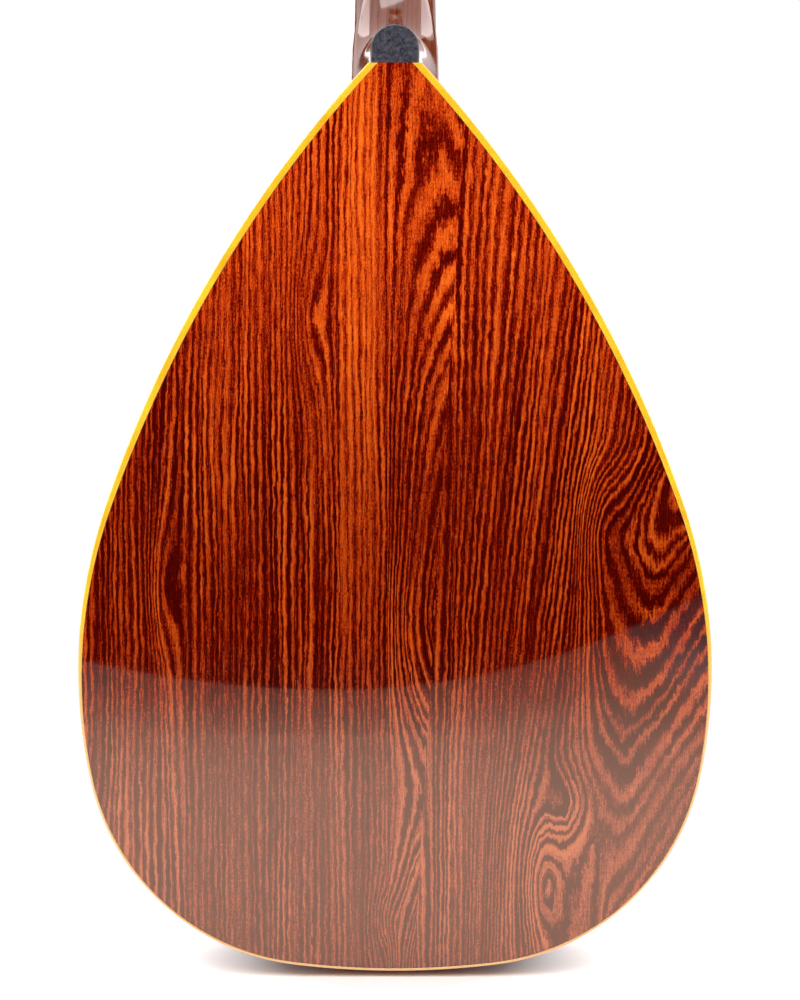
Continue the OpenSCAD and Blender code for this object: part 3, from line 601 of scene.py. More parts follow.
# Cast celluloid: clouds of two tones deep in a clear plastic, with a polished surface and faint scuffs.
@dataclass(frozen=True)
class Celluloid(Finish):
    """Cast plastic trim, plain or mottled.

    Attributes:
        pale: the lighter cloud.
        dark: the darker cloud.
        cloud: size of the clouds.
        contrast: how sharply the clouds part, from 0 to 1.
        swirl: how much the clouds are stirred.
        soft: half the clouds' span of noise levels without contrast, and with the most.
        glow: weight of the light that travels inside.
        depth: how far it travels, in metres.
        low: colour of a painted reflection haze near the tail, if any.
        painted_haze_ramp: places between which that painted haze grows.
        scuff: size of the scuffs.
    """

    pale: str
    dark: str
    cloud: float = 6.0
    contrast: float = 0.3
    swirl: float = 0.8
    soft: Span = (0.3, 0.06)
    glow: float = 0.0
    depth: float = 0.001
    low: str = ""
    painted_haze_ramp: Span = (-10.0, -70.0)
    scuff: float = 6.0
    _: KW_ONLY
    sheen: tuple[float, ...] = (0.35, 0.7, -0.03, 0.05)

    def paint(self, g: Graph, place: Node) -> dict[str, Any]:
        """Paints clouds, scuffs and depth.

        Args:
            g: the material's graph.
            place: the Object coordinate in millimetres.

        Returns:
            Values by the names of the shader's inputs.
        """
        half = self.soft[0] + (self.soft[1] - self.soft[0]) * self.contrast
        cloud = g.noise(place, self.cloud, detail=3.0, Distortion=self.swirl)
        cloud = g.span(cloud, 0.5 - half, 0.5 + half)
        colour = g.ramp(cloud, ((0.0, self.dark), (1.0, self.pale)))
        # Near the tail the colour turns to the low one: a painted reflection of the bright haze in the
        # lacquer.
        if self.low:
            colour = g.tint(g.ease(g.axes(place)["Z"], *self.painted_haze_ramp), colour, linear(self.low))
        return {
            "Base Color": colour,
            "Roughness": self.rough(g, g.noise(place, self.scuff, detail=3.0)),
            "Subsurface Weight": self.glow,
            "Subsurface Scale": self.depth,
        }


# Plated or drawn metal: a bright mirror broken by fine polishing lines and by dull patches of tarnish.
@dataclass(frozen=True)
class Metal(Finish):
    """Metal with polishing lines and tarnish.

    Attributes:
        bright: colour of the clean metal.
        dull: colour of the tarnish.
        tarnish: share of the surface that has dulled.
        brushed: the way the polishing lines run.
        line: width and length of the polishing lines.
        depth: strength of the lines' bump.
        patch, ragged: size of the patches of tarnish, and how ragged they are.
        dull_from: noise level over which metal is dull, and how far tarnish lowers it.
        dull_to: noise level at which it is wholly dull.
        dull_rough: what tarnish adds to the roughness.
    """

    bright: str
    dull: str
    tarnish: float = 0.3
    brushed: Axis = Axis.ACROSS
    line: Span = (0.35, 14.0)
    depth: float = 0.05
    patch: float = 7.0
    ragged: float = 0.6
    dull_from: Span = (0.62, 0.4)
    dull_to: float = 0.78
    dull_rough: float = 0.16

    def paint(self, g: Graph, place: Node) -> dict[str, Any]:
        """Paints lines and tarnish.

        Args:
            g: the material's graph.
            place: the Object coordinate in millimetres.

        Returns:
            Values by the names of the shader's inputs.
        """
        stretch = [1 / self.line[0]] * 3
        stretch[self.brushed.value] = 1 / self.line[1]
        lines = g.noise(g.vector("MULTIPLY", place, tuple(stretch)), detail=2.0)
        level, drop = self.dull_from
        patch = g.noise(place, self.patch, detail=5.0, Roughness=self.ragged)
        dull = g.span(patch, level - drop * self.tarnish, self.dull_to)
        return {
            "Base Color": g.ramp(dull, ((0.0, self.bright), (1.0, self.dull))),
            "Roughness": g.times(dull, self.dull_rough, self.rough(g, lines)),
            "Normal": g.bump(lines, self.depth),
            "Metallic": 1.0,
        }


# Round-wire winding of bronze over a steel core: bright ridges across the string, and painted shade
# darkening the grooves between them.
@dataclass(frozen=True)
class WoundWire(Finish):
    """The winding of the bass strings, along the piece's own attribute.

    Attributes:
        bright: colour of the ridges.
        seam: colour between the turns, painted shade in the grooves.
        turn: spacing of the turns, drawn three times as coarse as the real 0.2 mm so that it shows.
        depth: strength of the ridges' bump.
        patch: size of the smooth and rough patches.
    """

    bright: str
    seam: str
    turn: float = 0.6
    depth: float = 0.6
    patch: float = 12.0
    _: KW_ONLY
    sheen: tuple[float, ...] = (0.3, 0.7, -0.09, 0.09)

    def paint(self, g: Graph, place: Node) -> dict[str, Any]:
        """Paints the ridges of the winding.

        Args:
            g: the material's graph.
            place: the Object coordinate in millimetres.

        Returns:
            Values by the names of the shader's inputs.
        """
        along = g.add("ShaderNodeAttribute", attribute_name="along").outputs["Fac"]
        ridge = g.math("SINE", g.times(along, math.tau / (self.turn * MM)))
        ridge = g.span(ridge, -1.0, 0.0)
        # The grooves between turns take the darker seam colour: painted shade.
        return {
            "Base Color": g.ramp(ridge, ((0.0, self.seam), (1.0, self.bright))),
            "Normal": g.bump(ridge, self.depth),
            "Roughness": self.rough(g, g.noise(place, self.patch, detail=2.0)),
            "Metallic": 1.0,
        }


# Inlaid rings of dyed wood round the soundhole: black and pale lines beside a band of slanted blocks, flush
# and under the same lacquer as the top.
@dataclass(frozen=True)
class InlaidRings(Finish):
    """The rosette's lines and slanted blocks.

    Attributes:
        centre: middle of the soundhole along the neck.
        inner: inner radius.
        outer: outer radius.
        blocks: number of pale blocks round the ring.
        pale_block: share of them that is pale.
        slant: how far the blocks lean from the band's middle to the ring's edge, in blocks.
        band: half the band's width, as a share of the ring's.
        lines: places of the lines across the ring, black and pale in turn.
        black: colour of the dark lines.
        pale: colour of the pale lines and blocks.
        warm: colour of the blocks between.
        fibre: size of the smooth and rough fibres.
    """

    centre: float
    inner: float
    outer: float
    blocks: int = 144
    pale_block: float = 0.34
    slant: float = 4.4
    band: float = 0.24
    lines: tuple[float, ...] = (0.0, 0.1, 0.2, 0.26, 0.74, 0.8, 0.9)
    black: str = "#1b120d"
    pale: str = "#e9d9ae"
    warm: str = "#9a4a1e"
    fibre: float = 0.5
    _: KW_ONLY
    sheen: tuple[float, ...] = (0.0, 1.0, -0.07, 0.07)

    def paint(self, g: Graph, place: Node) -> dict[str, Any]:
        """Paints the rings by radius and the blocks by angle.

        Args:
            g: the material's graph.
            place: the Object coordinate in millimetres.

        Returns:
            Values by the names of the shader's inputs.
        """
        away = g.flat(g.vector("SUBTRACT", place, (0.0, 0.0, self.centre)), 1.0, 1.0)
        axes = g.axes(away)
        share = g.span(g.vector("LENGTH", away), self.inner, self.outer)
        aside = g.math("ABSOLUTE", g.math("SUBTRACT", share, 0.5))
        turn = g.times(g.math("ARCTAN2", axes["Z"], axes["X"]), self.blocks / math.tau)
        turn = g.math("FRACT", g.times(aside, self.slant, turn))
        block = g.ramp(turn, ((0.0, self.pale), (self.pale_block, self.warm)), "CONSTANT")
        colours = [self.pale if i % 2 else self.black for i in range(len(self.lines))]
        line = g.ramp(share, tuple(zip(self.lines, colours)), "CONSTANT")
        return {
            "Base Color": g.tint(g.math("LESS_THAN", aside, self.band), line, block),
            "Roughness": self.rough(g, g.noise(place, self.fibre, detail=2.0)),
        }


# The back: near-black red lines to orange-brown bands, and the duller browns of a painted reflection haze
# near the tail.
VENEER_STOPS = ((0.2, "#3a0200"), (0.4, "#520501"), (0.5, "#741403"), (0.62, "#a6340a"), (0.9, "#cf5c16"))
PAINTED_HAZE_STOPS = ((0.2, "#2c0c07"), (0.4, "#4a1c12"), (0.5, "#683022"), (0.62, "#8a4834"), (0.9, "#aa6449"))
VENEER_SWIRLS = (
    Swirl(60.0, -118.0, 15.0, 40.0, 0.0, 0.65),
    Swirl(58.7, -126.0, 7.5, 21.0, 9.0, 0.2),
    Swirl(66.0, -92.0, 10.0, 14.0, -7.0, 0.3),
    Swirl(-32.0, 96.0, 7.0, 30.0, 6.0, 0.3),
    Swirl(-88.0, -8.0, 6.0, 26.0, 6.0, 0.4),
    Swirl(-2.0, -138.0, 6.0, 12.0, 7.0, 0.3),
)
BACK = BackVeneer(
    "lacquered_striped_veneer", "back_veneer", VENEER_STOPS, PAINTED_HAZE_STOPS, VENEER_SWIRLS,
    roughness=0.5, coat=1.0, lacquer=1.9,
)
# Bent side veneer: long dark streaks that run round the rim under a soft gloss.
SIDES = Timber(
    "lacquered_bent_side_veneer", "side_veneer", "#7a2408", "#260401",
    across=Axis.DEEP, ring=3.4, pore=0.35, wander=14.0, roughness=0.36, coat=1.0, polish=0.2,
)
# Spruce: close, even, honey-coloured lines, mirrored at the middle seam, under amber lacquer.
SPRUCE = Timber(
    "amber_lacquered_spruce", "spruce", "#dcaa5e", "#a86a2b",
    ring=1.3, matched=True, pore=0.06, roughness=0.36, coat=0.6, polish=0.04,
)
# Spruce and lime inside the box: pale, dry and without gloss.
BARE_WOOD = Timber(
    "bare_spruce_and_lime", "inner_wood", "#d8b27a", "#a57a45",
    along=Axis.ACROSS, across=Axis.LONG, ring=1.7, pore=0.15, roughness=0.65, wander=3.0,
)
# Mahogany: red-brown with short dark pores along the neck, glossy to the hand.
MAHOGANY = Timber(
    "stained_mahogany", "neck_wood", "#7c3920", "#3f170d",
    ring=3.2, pore=0.55, roughness=0.4, coat=1.0, wander=9.0, lacquer=1.8, polish=0.1,
)
# Rosewood dyed black: nearly black with faint warm lines, oiled and not lacquered.
EBONISED = Timber(
    "ebonised_rosewood", "dark_wood", "#35201a", "#120a08",
    ring=1.9, pore=0.5, roughness=0.4, wander=5.0,
)
# The same wood with its grain across the strings, as a bridge is cut.
BRIDGE_WOOD = Timber(
    "ebonised_bridge_rosewood", "dark_wood", "#35201a", "#120a08",
    along=Axis.ACROSS, across=Axis.DEEP, ring=1.6, pore=0.5, roughness=0.4, wander=5.0,
)
# Cream celluloid under the lacquer: warm yellow with age, turning paler peach near the tail as a painted
# reflection of bright haze.
BINDING = Celluloid(
    "yellowed_cream_celluloid", "binding", "#fbd32c", "#f0b014",
    cloud=18.0, glow=0.1, low="#f0b878", coat=1.0, lacquer=1.9,
)
# Mottled celluloid: amber clouds with sharp edges in dark brown.
GUARD = Celluloid(
    "mottled_brown_celluloid", "guard", "#a04c12", "#2a0d06", cloud=9.0, contrast=0.8, roughness=0.16,
)
# Charcoal celluloid: a fine blue-grey mottle with a dull polish.
HEEL_CAP = Celluloid(
    "charcoal_celluloid", "black_trim", "#4a4955", "#14131a", cloud=1.6, contrast=0.5, roughness=0.3,
)
# Veneer stained black: one even dark face with a polish.
OVERLAY = Celluloid("black_stained_headplate", "black_trim", "#1d1a19", "#0d0b0b", cloud=14.0, roughness=0.2)
# Bone: warm white that lets a little light in.
BONE = Celluloid("polished_bone", "bone", "#efe6cf", "#d9c9a2", cloud=4.0, roughness=0.3, glow=0.2)
# Pearloid: white and grey flakes that seem to lie deep in the plastic.
PEARL = Celluloid(
    "pearloid", "pearl", "#f4efe2", "#c9c4b6", cloud=2.4, contrast=0.6, roughness=0.18, glow=0.1,
)
# Nickel plate: a warm white mirror with little tarnish.
NICKEL = Metal("nickel_plated_steel", "nickel", "#d6d2c8", "#b4ac9c", roughness=0.18, tarnish=0.08)
# Nickel silver: yellower and duller than plate.
FRET_WIRE = Metal("nickel_silver_wire", "fret_wire", "#d6d0bf", "#a89c7e", roughness=0.2, tarnish=0.15)
# Tinned steel: a cold, thin bright line with marks drawn along it.
PLAIN_WIRE = Metal(
    "tinned_steel_wire", "string_steel", "#dcdcda", "#b3b0a8", roughness=0.16, brushed=Axis.LONG,
)
# Bronze winding: pale copper ridges with brown seams.
BRONZE = WoundWire("bronze_winding", "string_bronze", "#cfa470", "#7d5932", roughness=0.33)
# Machined steel: grey, with turning marks.
STEEL = Metal("machined_steel", "machine_steel", "#c4c3bf", "#8d897f", roughness=0.26)
# Turned brass: yellow, with turning marks and brown patches.
BRASS = Metal("turned_brass", "machine_brass", "#d9b564", "#94713a", roughness=0.24)
# Dyed wood inlay: crisp rings, level with the top.
ROSETTE = InlaidRings(
    "inlaid_wood_rings", "rosette", 74.02, 27.5, 33.0, roughness=0.35, coat=0.5, polish=0.05,
)


def new_object(name: str, mesh: Mesh) -> bpy.types.Object:
    """Puts a mesh into the scene as an object at the origin.

    Args:
        name: the piece's name.
        mesh: its mesh, already in place.

    Returns:
        The object.
    """
    piece = bpy.data.objects.new(name, mesh)
    bpy.context.scene.collection.objects.link(piece)
    return piece


def new_mesh(name: str, points: Iterable[Sequence[float]], edges: Any = (), faces: Any = ()) -> Mesh:
    """Makes a mesh.

    Args:
        name: its name.
        points: its points in metres.
        edges: pairs of points.
        faces: rounds of points.

    Returns:
        The mesh.
    """
    mesh = bpy.data.meshes.new(name)
    mesh.from_pydata([tuple(p) for p in points], list(edges), list(faces))
    return mesh


def path_mesh(name: str, points: Sequence[Sequence[float]], closed: bool = False) -> Mesh:
    """Makes a mesh of edges that a node tree can read as a path.

    Args:
        name: the mesh's name.
        points: the path in millimetres.
        closed: whether the last point joins the first.

    Returns:
        The mesh.
    """
    last = len(points) - 1
    edges = [(i, i + 1) for i in range(last)] + [(last, 0)] * closed
    return new_mesh(name, [metres(p) for p in points], edges)


def finished(name: str, shape: bmesh.types.BMesh, finish: Finish, sharp: float) -> bpy.types.Object:
    """Makes a smooth-shaded piece of a shape.

    Args:
        name: the piece's name.
        shape: the shape, which is freed.
        finish: its finish.
        sharp: edges over this angle in degrees stay sharp.

    Returns:
        The piece.
    """
    mesh = bpy.data.meshes.new(name)
    shape.to_mesh(mesh)
    shape.free()
    mesh.materials.append(finish.material())
    mesh.polygons.foreach_set("material_index", [0] * len(mesh.polygons))
    mesh.shade_smooth()
    mesh.set_sharp_from_angle(angle=math.radians(sharp))
    return new_object(name, mesh)


def stand_for(piece: bpy.types.Object, body: str, finish: Finish, *nodes: str) -> None:
    """Lets a piece ride on a body and stand for CAD nodes.

    Args:
        piece: the finished piece.
        body: the body's name.
        finish: not used.
        nodes: the nodes that it hides.
    """
    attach(piece, body)
    if nodes:
        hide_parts(*nodes)
    LOG.info("piece %s on %s: %d faces", piece.name, body, len(piece.data.polygons))


def join(name: str, meshes: Sequence[Mesh], finish: Finish, sharp: float = 35.0) -> bpy.types.Object:
    """Joins plain meshes into one smooth-shaded piece.

    Args:
        name: the piece's name.
        meshes: its parts.
        finish: their finish.
        sharp: edges over this angle in degrees stay sharp.

    Returns:
        The piece.
    """
    shape = bmesh.new()
    for part in meshes:
        shape.from_mesh(part)
    return finished(name, shape, finish, sharp)


class NodeShape(Graph):
    """A Geometry Nodes tree with named inputs that makes one plain mesh at a time."""

    def __init__(self, name: str, **inputs: type) -> None:
        """Opens the tree.

        Args:
            name: the tree's name.
            inputs: the named inputs, float for a length and int for a count.
        """
        super().__init__(bpy.data.node_groups.new(name, "GeometryNodeTree"))
        face = self.tree.interface
        face.new_socket("Geometry", in_out="INPUT", socket_type="NodeSocketGeometry")
        for label, kind in inputs.items():
            socket = "NodeSocketInt" if kind is int else "NodeSocketFloat"
            face.new_socket(label, in_out="INPUT", socket_type=socket)
        face.new_socket("Geometry", in_out="OUTPUT", socket_type="NodeSocketGeometry")
        self.given = self.add("NodeGroupInput").outputs

    def path(self) -> Node:
        """Reads the given mesh as a path."""
        return self.add("GeometryNodeMeshToCurve", {"Mesh": self.given["Geometry"]})

    def joined(self, *parts: Node) -> Node:
        """Joins the geometry of several nodes.

        Args:
            parts: the nodes.

        Returns:
            The joining node.
        """
        whole = self.add("GeometryNodeJoinGeometry")
        for part in parts:
            self.fill(whole, {0: part})
        return whole

    def store(self, shape: Node, name: str, value: Any, kind: str = "FLOAT") -> Node:
        """Stores a value on a shape's points under a name."""
        inputs = {"Geometry": shape, "Name": name, "Value": value}
        return self.add("GeometryNodeStoreNamedAttribute", inputs, data_type=kind, domain="POINT")

    def stored(self, name: str, kind: str = "FLOAT") -> Node:
        """Reads a stored value."""
        return self.add("GeometryNodeInputNamedAttribute", {"Name": name}, data_type=kind)

    def sweep(self, path: Node, section: Node) -> Node:
        """Sweeps a section along a path."""
        inputs = {"Curve": path, "Profile Curve": section, "Fill Caps": True}
        return self.add("GeometryNodeCurveToMesh", inputs)

    def circle(self, sides: int, radius: Any) -> Node:
        """Draws a circle."""
        return self.add("GeometryNodeCurvePrimitiveCircle", {"Resolution": sides, "Radius": radius})

    def close(self, shape: Node) -> "NodeShape":
        """Ends the tree in real geometry."""
        self.add("NodeGroupOutput", {0: self.add("GeometryNodeRealizeInstances", {0: shape})})
        return self

    def wire(self, path: Node, sides: int) -> "NodeShape":
        """Ends the tree in a round wire of the given Radius that keeps the length along its path.

        Args:
            path: the path.
            sides: sides of the wire's section.

        Returns:
            The closed tree.
        """
        length = self.add("GeometryNodeSplineParameter").outputs["Length"]
        path = self.store(path, "along", length)
        return self.close(self.sweep(path, self.circle(sides, self.given["Radius"])))

    def slab(self, outline: Node, filling: str) -> "NodeShape":
        """Ends the tree in a slab that is Thick.

        Args:
            outline: the curves round it.
            filling: TRIANGLES or NGONS.

        Returns:
            The closed tree.
        """
        face = self.add("GeometryNodeFillCurve", {"Curve": outline}, mode=filling)
        up = self.xyz(Z=self.given["Thick"])
        walls = self.add("GeometryNodeExtrudeMesh", {"Mesh": face, "Offset": up, "Individual": False})
        whole = self.joined(walls, self.add("GeometryNodeFlipFaces", {"Mesh": face}))
        return self.close(self.add("GeometryNodeMergeByDistance", {"Geometry": whole, "Distance": MERGE}))

    def grow(self, name: str, base: Optional[Mesh] = None, **values: float) -> Mesh:
        """Runs the tree.

        Args:
            name: the mesh's name.
            base: the mesh that the tree reads.
            values: the named inputs, lengths in millimetres.

        Returns:
            A plain mesh.
        """
        carrier = new_object(name + "_carrier", base or bpy.data.meshes.new(name + "_base"))
        modifier = carrier.modifiers.new(name, "NODES")
        modifier.node_group = self.tree
        for item in self.tree.interface.items_tree:
            if item.in_out == "INPUT" and item.name in values:
                value = values[item.name]
                modifier[item.identifier] = value if isinstance(value, int) else value * MM
        graph = bpy.context.evaluated_depsgraph_get()
        graph.update()
        mesh = bpy.data.meshes.new_from_object(carrier.evaluated_get(graph))
        mesh.name = name
        bpy.data.objects.remove(carrier)
        return mesh


@dataclass
class Assembly:
    """A sub-assembly of the instrument.

    Attributes:
    """

    frame: dict

    def build(self) -> None:
        """Makes and dresses the pieces."""
        raise NotImplementedError

    def dress(self, finish: Finish, *nodes: str) -> None:
        """Gives CAD nodes their finish.

        Args:
            finish: the finish.
            nodes: the nodes' names.
        """
        for name in nodes:
            piece = self.frame["nodes"][name]
            if not piece.material_slots:
                piece.data.materials.append(None)
            for slot in piece.material_slots:
                slot.material = finish.material()
            LOG.info("node %s: %s", name, finish.name)

    def soften(self, node: str, body: str, finish: Finish, bevel: float = 0.0) -> None:
        """Puts a merged, smooth-shaded copy in place of a CAD node, with its sharp edges eased.

        Args:
            node: the CAD node.
            body: the body that it belongs to.
            finish: the finish.
            bevel: width of the eased edges.
        """
        weld, level, corner, eased = 0.003 * MM, math.radians(0.4), 32.0, 20.0
        source = self.frame["nodes"][node]
        shape = bmesh.new()
        shape.from_mesh(source.data)
        shape.transform(source.matrix_world)
        bmesh.ops.remove_doubles(shape, verts=shape.verts, dist=weld)
        bmesh.ops.dissolve_limit(shape, angle_limit=level, verts=shape.verts, edges=shape.edges)
        if bevel:
            limit = math.radians(corner)
            edges = [e for e in shape.edges if e.is_manifold and e.calc_face_angle(0.0) > limit]
            how = {"segments": 2, "profile": 0.5, "affect": "EDGES", "clamp_overlap": True}
            bmesh.ops.bevel(shape, geom=edges, offset=bevel * MM, **how)
        piece = finished(node + "_eased", shape, finish, eased if bevel else corner)
        stand_for(piece, body, finish, node)


@dataclass
class SoundBox(Assembly):
    """The teardrop box, its plates and its trim.

    Attributes:
        width, length, depth: greatest width, from the tail to the neck joint, and over both plates.
        end_width: width where it meets the heel.
        tail_r, corner_r, flank_r, shoulder_r: radii of the outline's arcs, from the tail to the heel.
        flank_angle: angle in degrees at which the flank takes over from the corner.
        bridge_y: distance from the tail to the bridge.
        binding_w, binding_h: width and height of the binding.
        binding_round, round_steps: radius of its scraped corners, and the points on one.
        seam: width of the back's binding as the scraper left it, at the tail and at the heel.
        seam_rise: distances from the tail between which it grows from one to the other.
        back_t: thickness of the back plate.
        over: how far trim runs on past the body's end before it is cut there.
        step: length of one step along the outline.
    """

    width: float = 245.0
    length: float = 351.0
    depth: float = 60.0
    end_width: float = 21.0
    tail_r: float = 320.0
    corner_r: float = 92.0
    flank_r: float = 197.0
    shoulder_r: float = 484.0
    flank_angle: float = -12.5
    bridge_y: float = 157.315
    binding_w: float = 1.9
    binding_h: float = 4.6
    binding_round: float = 0.55
    round_steps: int = 4
    seam: Span = (1.15, 2.9)
    seam_rise: Span = (60.0, 240.0)
    back_t: float = 2.6
    over: float = 4.0
    step: float = 3.0

    def path(self, tail_inset: float, heel_inset: float, closed: bool) -> Mesh:
        """Draws a line inside the outline, round the tail from end to end, lying flat from the tail.

        Args:
            tail_inset: distance inside the outline at the tail.
            heel_inset: distance inside it at the heel.
            closed: whether the ends are joined.

        Returns:
            The path, which runs on just past the body's end.
        """
        flank_a = math.radians(self.flank_angle)
        corner_x = self.width / 2 - self.flank_r + (self.flank_r - self.corner_r) * math.cos(flank_a)
        corner_a = -math.acos(corner_x / (self.tail_r - self.corner_r))
        tail_c = Vector((0, self.tail_r))
        corner_c = tail_c + polar(self.tail_r - self.corner_r, corner_a)
        flank_c = corner_c - polar(self.flank_r - self.corner_r, flank_a)
        end = Vector((self.end_width / 2, self.length)) - flank_c
        shift = self.shoulder_r - self.flank_r
        run = (self.shoulder_r**2 - shift**2 - end.length_squared) / (2 * shift)
        shoulder_a = math.atan2(end.y, end.x) - math.acos(run / end.length)
        shoulder_c = flank_c - polar(shift, shoulder_a)
        last_a = math.asin((self.length + self.over - shoulder_c.y) / self.shoulder_r)
        arcs = (
            (tail_c, self.tail_r, -math.pi / 2, corner_a),
            (corner_c, self.corner_r, corner_a, flank_a),
            (flank_c, self.flank_r, flank_a, shoulder_a),
            (shoulder_c, self.shoulder_r, shoulder_a, last_a),
        )
        half = []
        for centre, radius, start, stop in arcs:
            count = math.ceil(radius * (stop - start) / self.step)
            for angle in [start + (stop - start) * i / count for i in range(count)]:
                share = ease((centre + polar(radius, angle)).y, *self.seam_rise)
                inset = tail_inset + (heel_inset - tail_inset) * share
                half.append(centre + polar(radius - inset, angle))
        half.append(shoulder_c + polar(self.shoulder_r - heel_inset, last_a))
        left = [(-p.x, p.y, 0.0) for p in half[1:]]
        return path_mesh("outline_path", [(p.x, p.y, 0.0) for p in half[::-1]] + left, closed)

    def fit(self, mesh: Mesh) -> Mesh:
        """Cuts trim that lies flat at the body's end and stands it up in its place.

        Args:
            mesh: the trim.

        Returns:
            The same mesh.
        """
        shape = bmesh.new()
        shape.from_mesh(mesh)
        every = [*shape.verts, *shape.edges, *shape.faces]
        end, ahead = metres((0, self.length, 0)), (0, 1, 0)
        cut = bmesh.ops.bisect_plane(shape, geom=every, plane_co=end, plane_no=ahead, clear_outer=True)
        rim = [edge for edge in cut["geom_cut"] if isinstance(edge, bmesh.types.BMEdge)]
        bmesh.ops.holes_fill(shape, edges=rim)
        bmesh.ops.recalc_face_normals(shape, faces=shape.faces)
        to_bridge = Matrix.Translation(metres((0, -self.bridge_y, 0)))
        shape.transform(Matrix.Rotation(math.pi / 2, 4, "X") @ to_bridge)
        shape.to_mesh(mesh)
        shape.free()
        return mesh

    def plate(self) -> NodeShape:
        """Fills a closed path that lies flat and gives it thickness."""
        shape = NodeShape("veneer_plate", Thick=float)
        return shape.slab(shape.path(), "NGONS")

    def strip(self) -> NodeShape:
        """Sweeps a strip with scraped corners along a path, wider by Tail and Heel at its ends.

        Returns:
            The closed tree.
        """
        names = ("Wide", "High", "Round", "Lift", "Tail", "Heel")
        shape = NodeShape("binding_strip", **dict.fromkeys(names, float))
        wide, high, corner, lift, tail, heel = (shape.given[name] for name in names)
        path = shape.add("GeometryNodeSetCurveNormal", {"Curve": shape.path()}, mode="Z_UP")
        up = shape.axes(shape.add("GeometryNodeInputPosition"))["Y"]
        grown = shape.ease(up, *(distance * MM for distance in self.seam_rise), tail, heel)
        side = shape.scaled(shape.add("GeometryNodeInputNormal"), grown)
        path = shape.store(path, "widen", side, "FLOAT_VECTOR")
        section = {"Width": wide, "Height": high}
        section = shape.add("GeometryNodeCurvePrimitiveQuadrilateral", section)
        section = {"Curve": section, "Radius": corner, "Count": self.round_steps}
        section = shape.add("GeometryNodeFilletCurve", section, mode="POLY")
        across = shape.axes(shape.add("GeometryNodeInputPosition"))["X"]
        section = shape.store(section, "inner", shape.math("GREATER_THAN", across, 0.0))
        shift = shape.scaled(shape.stored("widen", "FLOAT_VECTOR"), shape.stored("inner"))
        swept = {"Geometry": shape.sweep(path, section), "Offset": shift}
        swept = shape.add("GeometryNodeSetPosition", swept)
        moved = {"Geometry": swept, "Translation": shape.xyz(Z=lift)}
        return shape.close(shape.add("GeometryNodeTransform", moved))

    def build(self) -> None:
        """Dresses the box, fits its back and sweeps its binding."""
        self.dress(SIDES, "side_bass", "side_treble")
        self.dress(SPRUCE, "soundboard")
        self.dress(ROSETTE, "rosette")
        self.dress(GUARD, "pickguard")
        self.dress(BARE_WOOD, "neck_block", "tail_block", "back_linings", "top_linings")
        self.dress(BARE_WOOD, "back_braces", "top_braces")
        veneer = self.plate().grow("back_veneer", self.path(*self.seam, closed=True), Thick=self.back_t)
        stand_for(join("back_veneer", [self.fit(veneer)], BACK), "instrument", BACK, "back_plate")
        strip = self.strip()
        middle = self.binding_w / 2
        sizes = {"Wide": self.binding_w, "High": self.binding_h, "Round": self.binding_round}
        tail, heel = (width - self.binding_w for width in self.seam)
        back = {"Lift": self.binding_h / 2, "Tail": tail, "Heel": heel}
        top = {"Lift": self.depth - self.binding_h / 2, "Tail": 0.0, "Heel": 0.0}
        for name, place in (("back_binding", back), ("top_binding", top)):
            mesh = strip.grow(name + "_strip", self.path(middle, middle, closed=False), **place, **sizes)
            piece = join(name + "_strip", [self.fit(mesh)], BINDING)
            stand_for(piece, "instrument", BINDING, name)


@dataclass
class Neck(Assembly):
    """The neck with its heel, fretboard and headstock.

    Attributes:
        cap_edge, nut_edge, plate_edge: rounding of the heel cap, the nut and the headplate.
    """

    cap_edge: float = 0.5
    nut_edge: float = 0.3
    plate_edge: float = 0.25

    def build(self) -> None:
        """Dresses the neck's pieces."""
        self.soften("neck", "instrument", MAHOGANY)
        self.soften("heel_cap", "instrument", HEEL_CAP, self.cap_edge)
        self.soften("nut", "instrument", BONE, self.nut_edge)
        self.soften("headstock_overlay", "instrument", OVERLAY, self.plate_edge)
        self.dress(EBONISED, "fretboard", "fretboard_wedge")
        self.dress(FRET_WIRE, "frets")
        self.dress(PEARL, "position_dots")


@dataclass
class Bridge(Assembly):
    """The floating bridge with its two thumbwheels.

    Attributes:
        span: spacing of the posts.
        low: place of the wheels' lower faces, over the back.
        radius, thick: of a wheel, over its ridges.
        bore, bore_sides: radius and sides of a wheel's bore.
        ridges, ridge: number and depth of the ridges round a wheel.
        ridge_angle: edges over this angle in degrees stay sharp.
        edge: rounding of the wood's edges.
    """

    span: float = 64.0
    low: float = 68.0
    radius: float = 7.0
    bore: float = 2.05
    bore_sides: int = 32
    thick: float = 2.2
    ridges: int = 44
    ridge: float = 0.35
    ridge_angle: float = 20.0
    edge: float = 0.4

    def knurled_wheel(self) -> NodeShape:
        """Makes a flat wheel with a ridged rim and a bore.

        Returns:
            The closed tree.
        """
        shape = NodeShape("knurled_wheel", Ridges=int, Rim=float, Root=float, Bore=float, Thick=float)
        given = shape.given
        rim = {"Points": given["Ridges"], "Inner Radius": given["Root"], "Outer Radius": given["Rim"]}
        rim = shape.add("GeometryNodeCurveStar", rim)
        return shape.slab(shape.joined(rim, shape.circle(self.bore_sides, given["Bore"])), "TRIANGLES")

    def build(self) -> None:
        """Dresses the bridge and makes its wheels."""
        self.soften("bridge_base", "instrument", BRIDGE_WOOD, self.edge)
        self.soften("bridge_saddle", "bridge_saddle", BRIDGE_WOOD, self.edge)
        self.dress(BRASS, "bridge_posts")
        wheel = self.knurled_wheel()
        sizes = {"Rim": self.radius, "Root": self.radius - self.ridge, "Bore": self.bore}
        for name, hand in (("thumbwheel_bass", -1), ("thumbwheel_treble", 1)):
            mesh = wheel.grow(name + "_knurled", Ridges=self.ridges, Thick=self.thick, **sizes)
            mesh.transform(Matrix.Rotation(math.pi / 2, 4, "X"))
            mesh.transform(Matrix.Translation(metres((hand * self.span / 2, -self.low, 0))))
            stand_for(join(name + "_knurled", [mesh], BRASS, self.ridge_angle), name, BRASS, name)


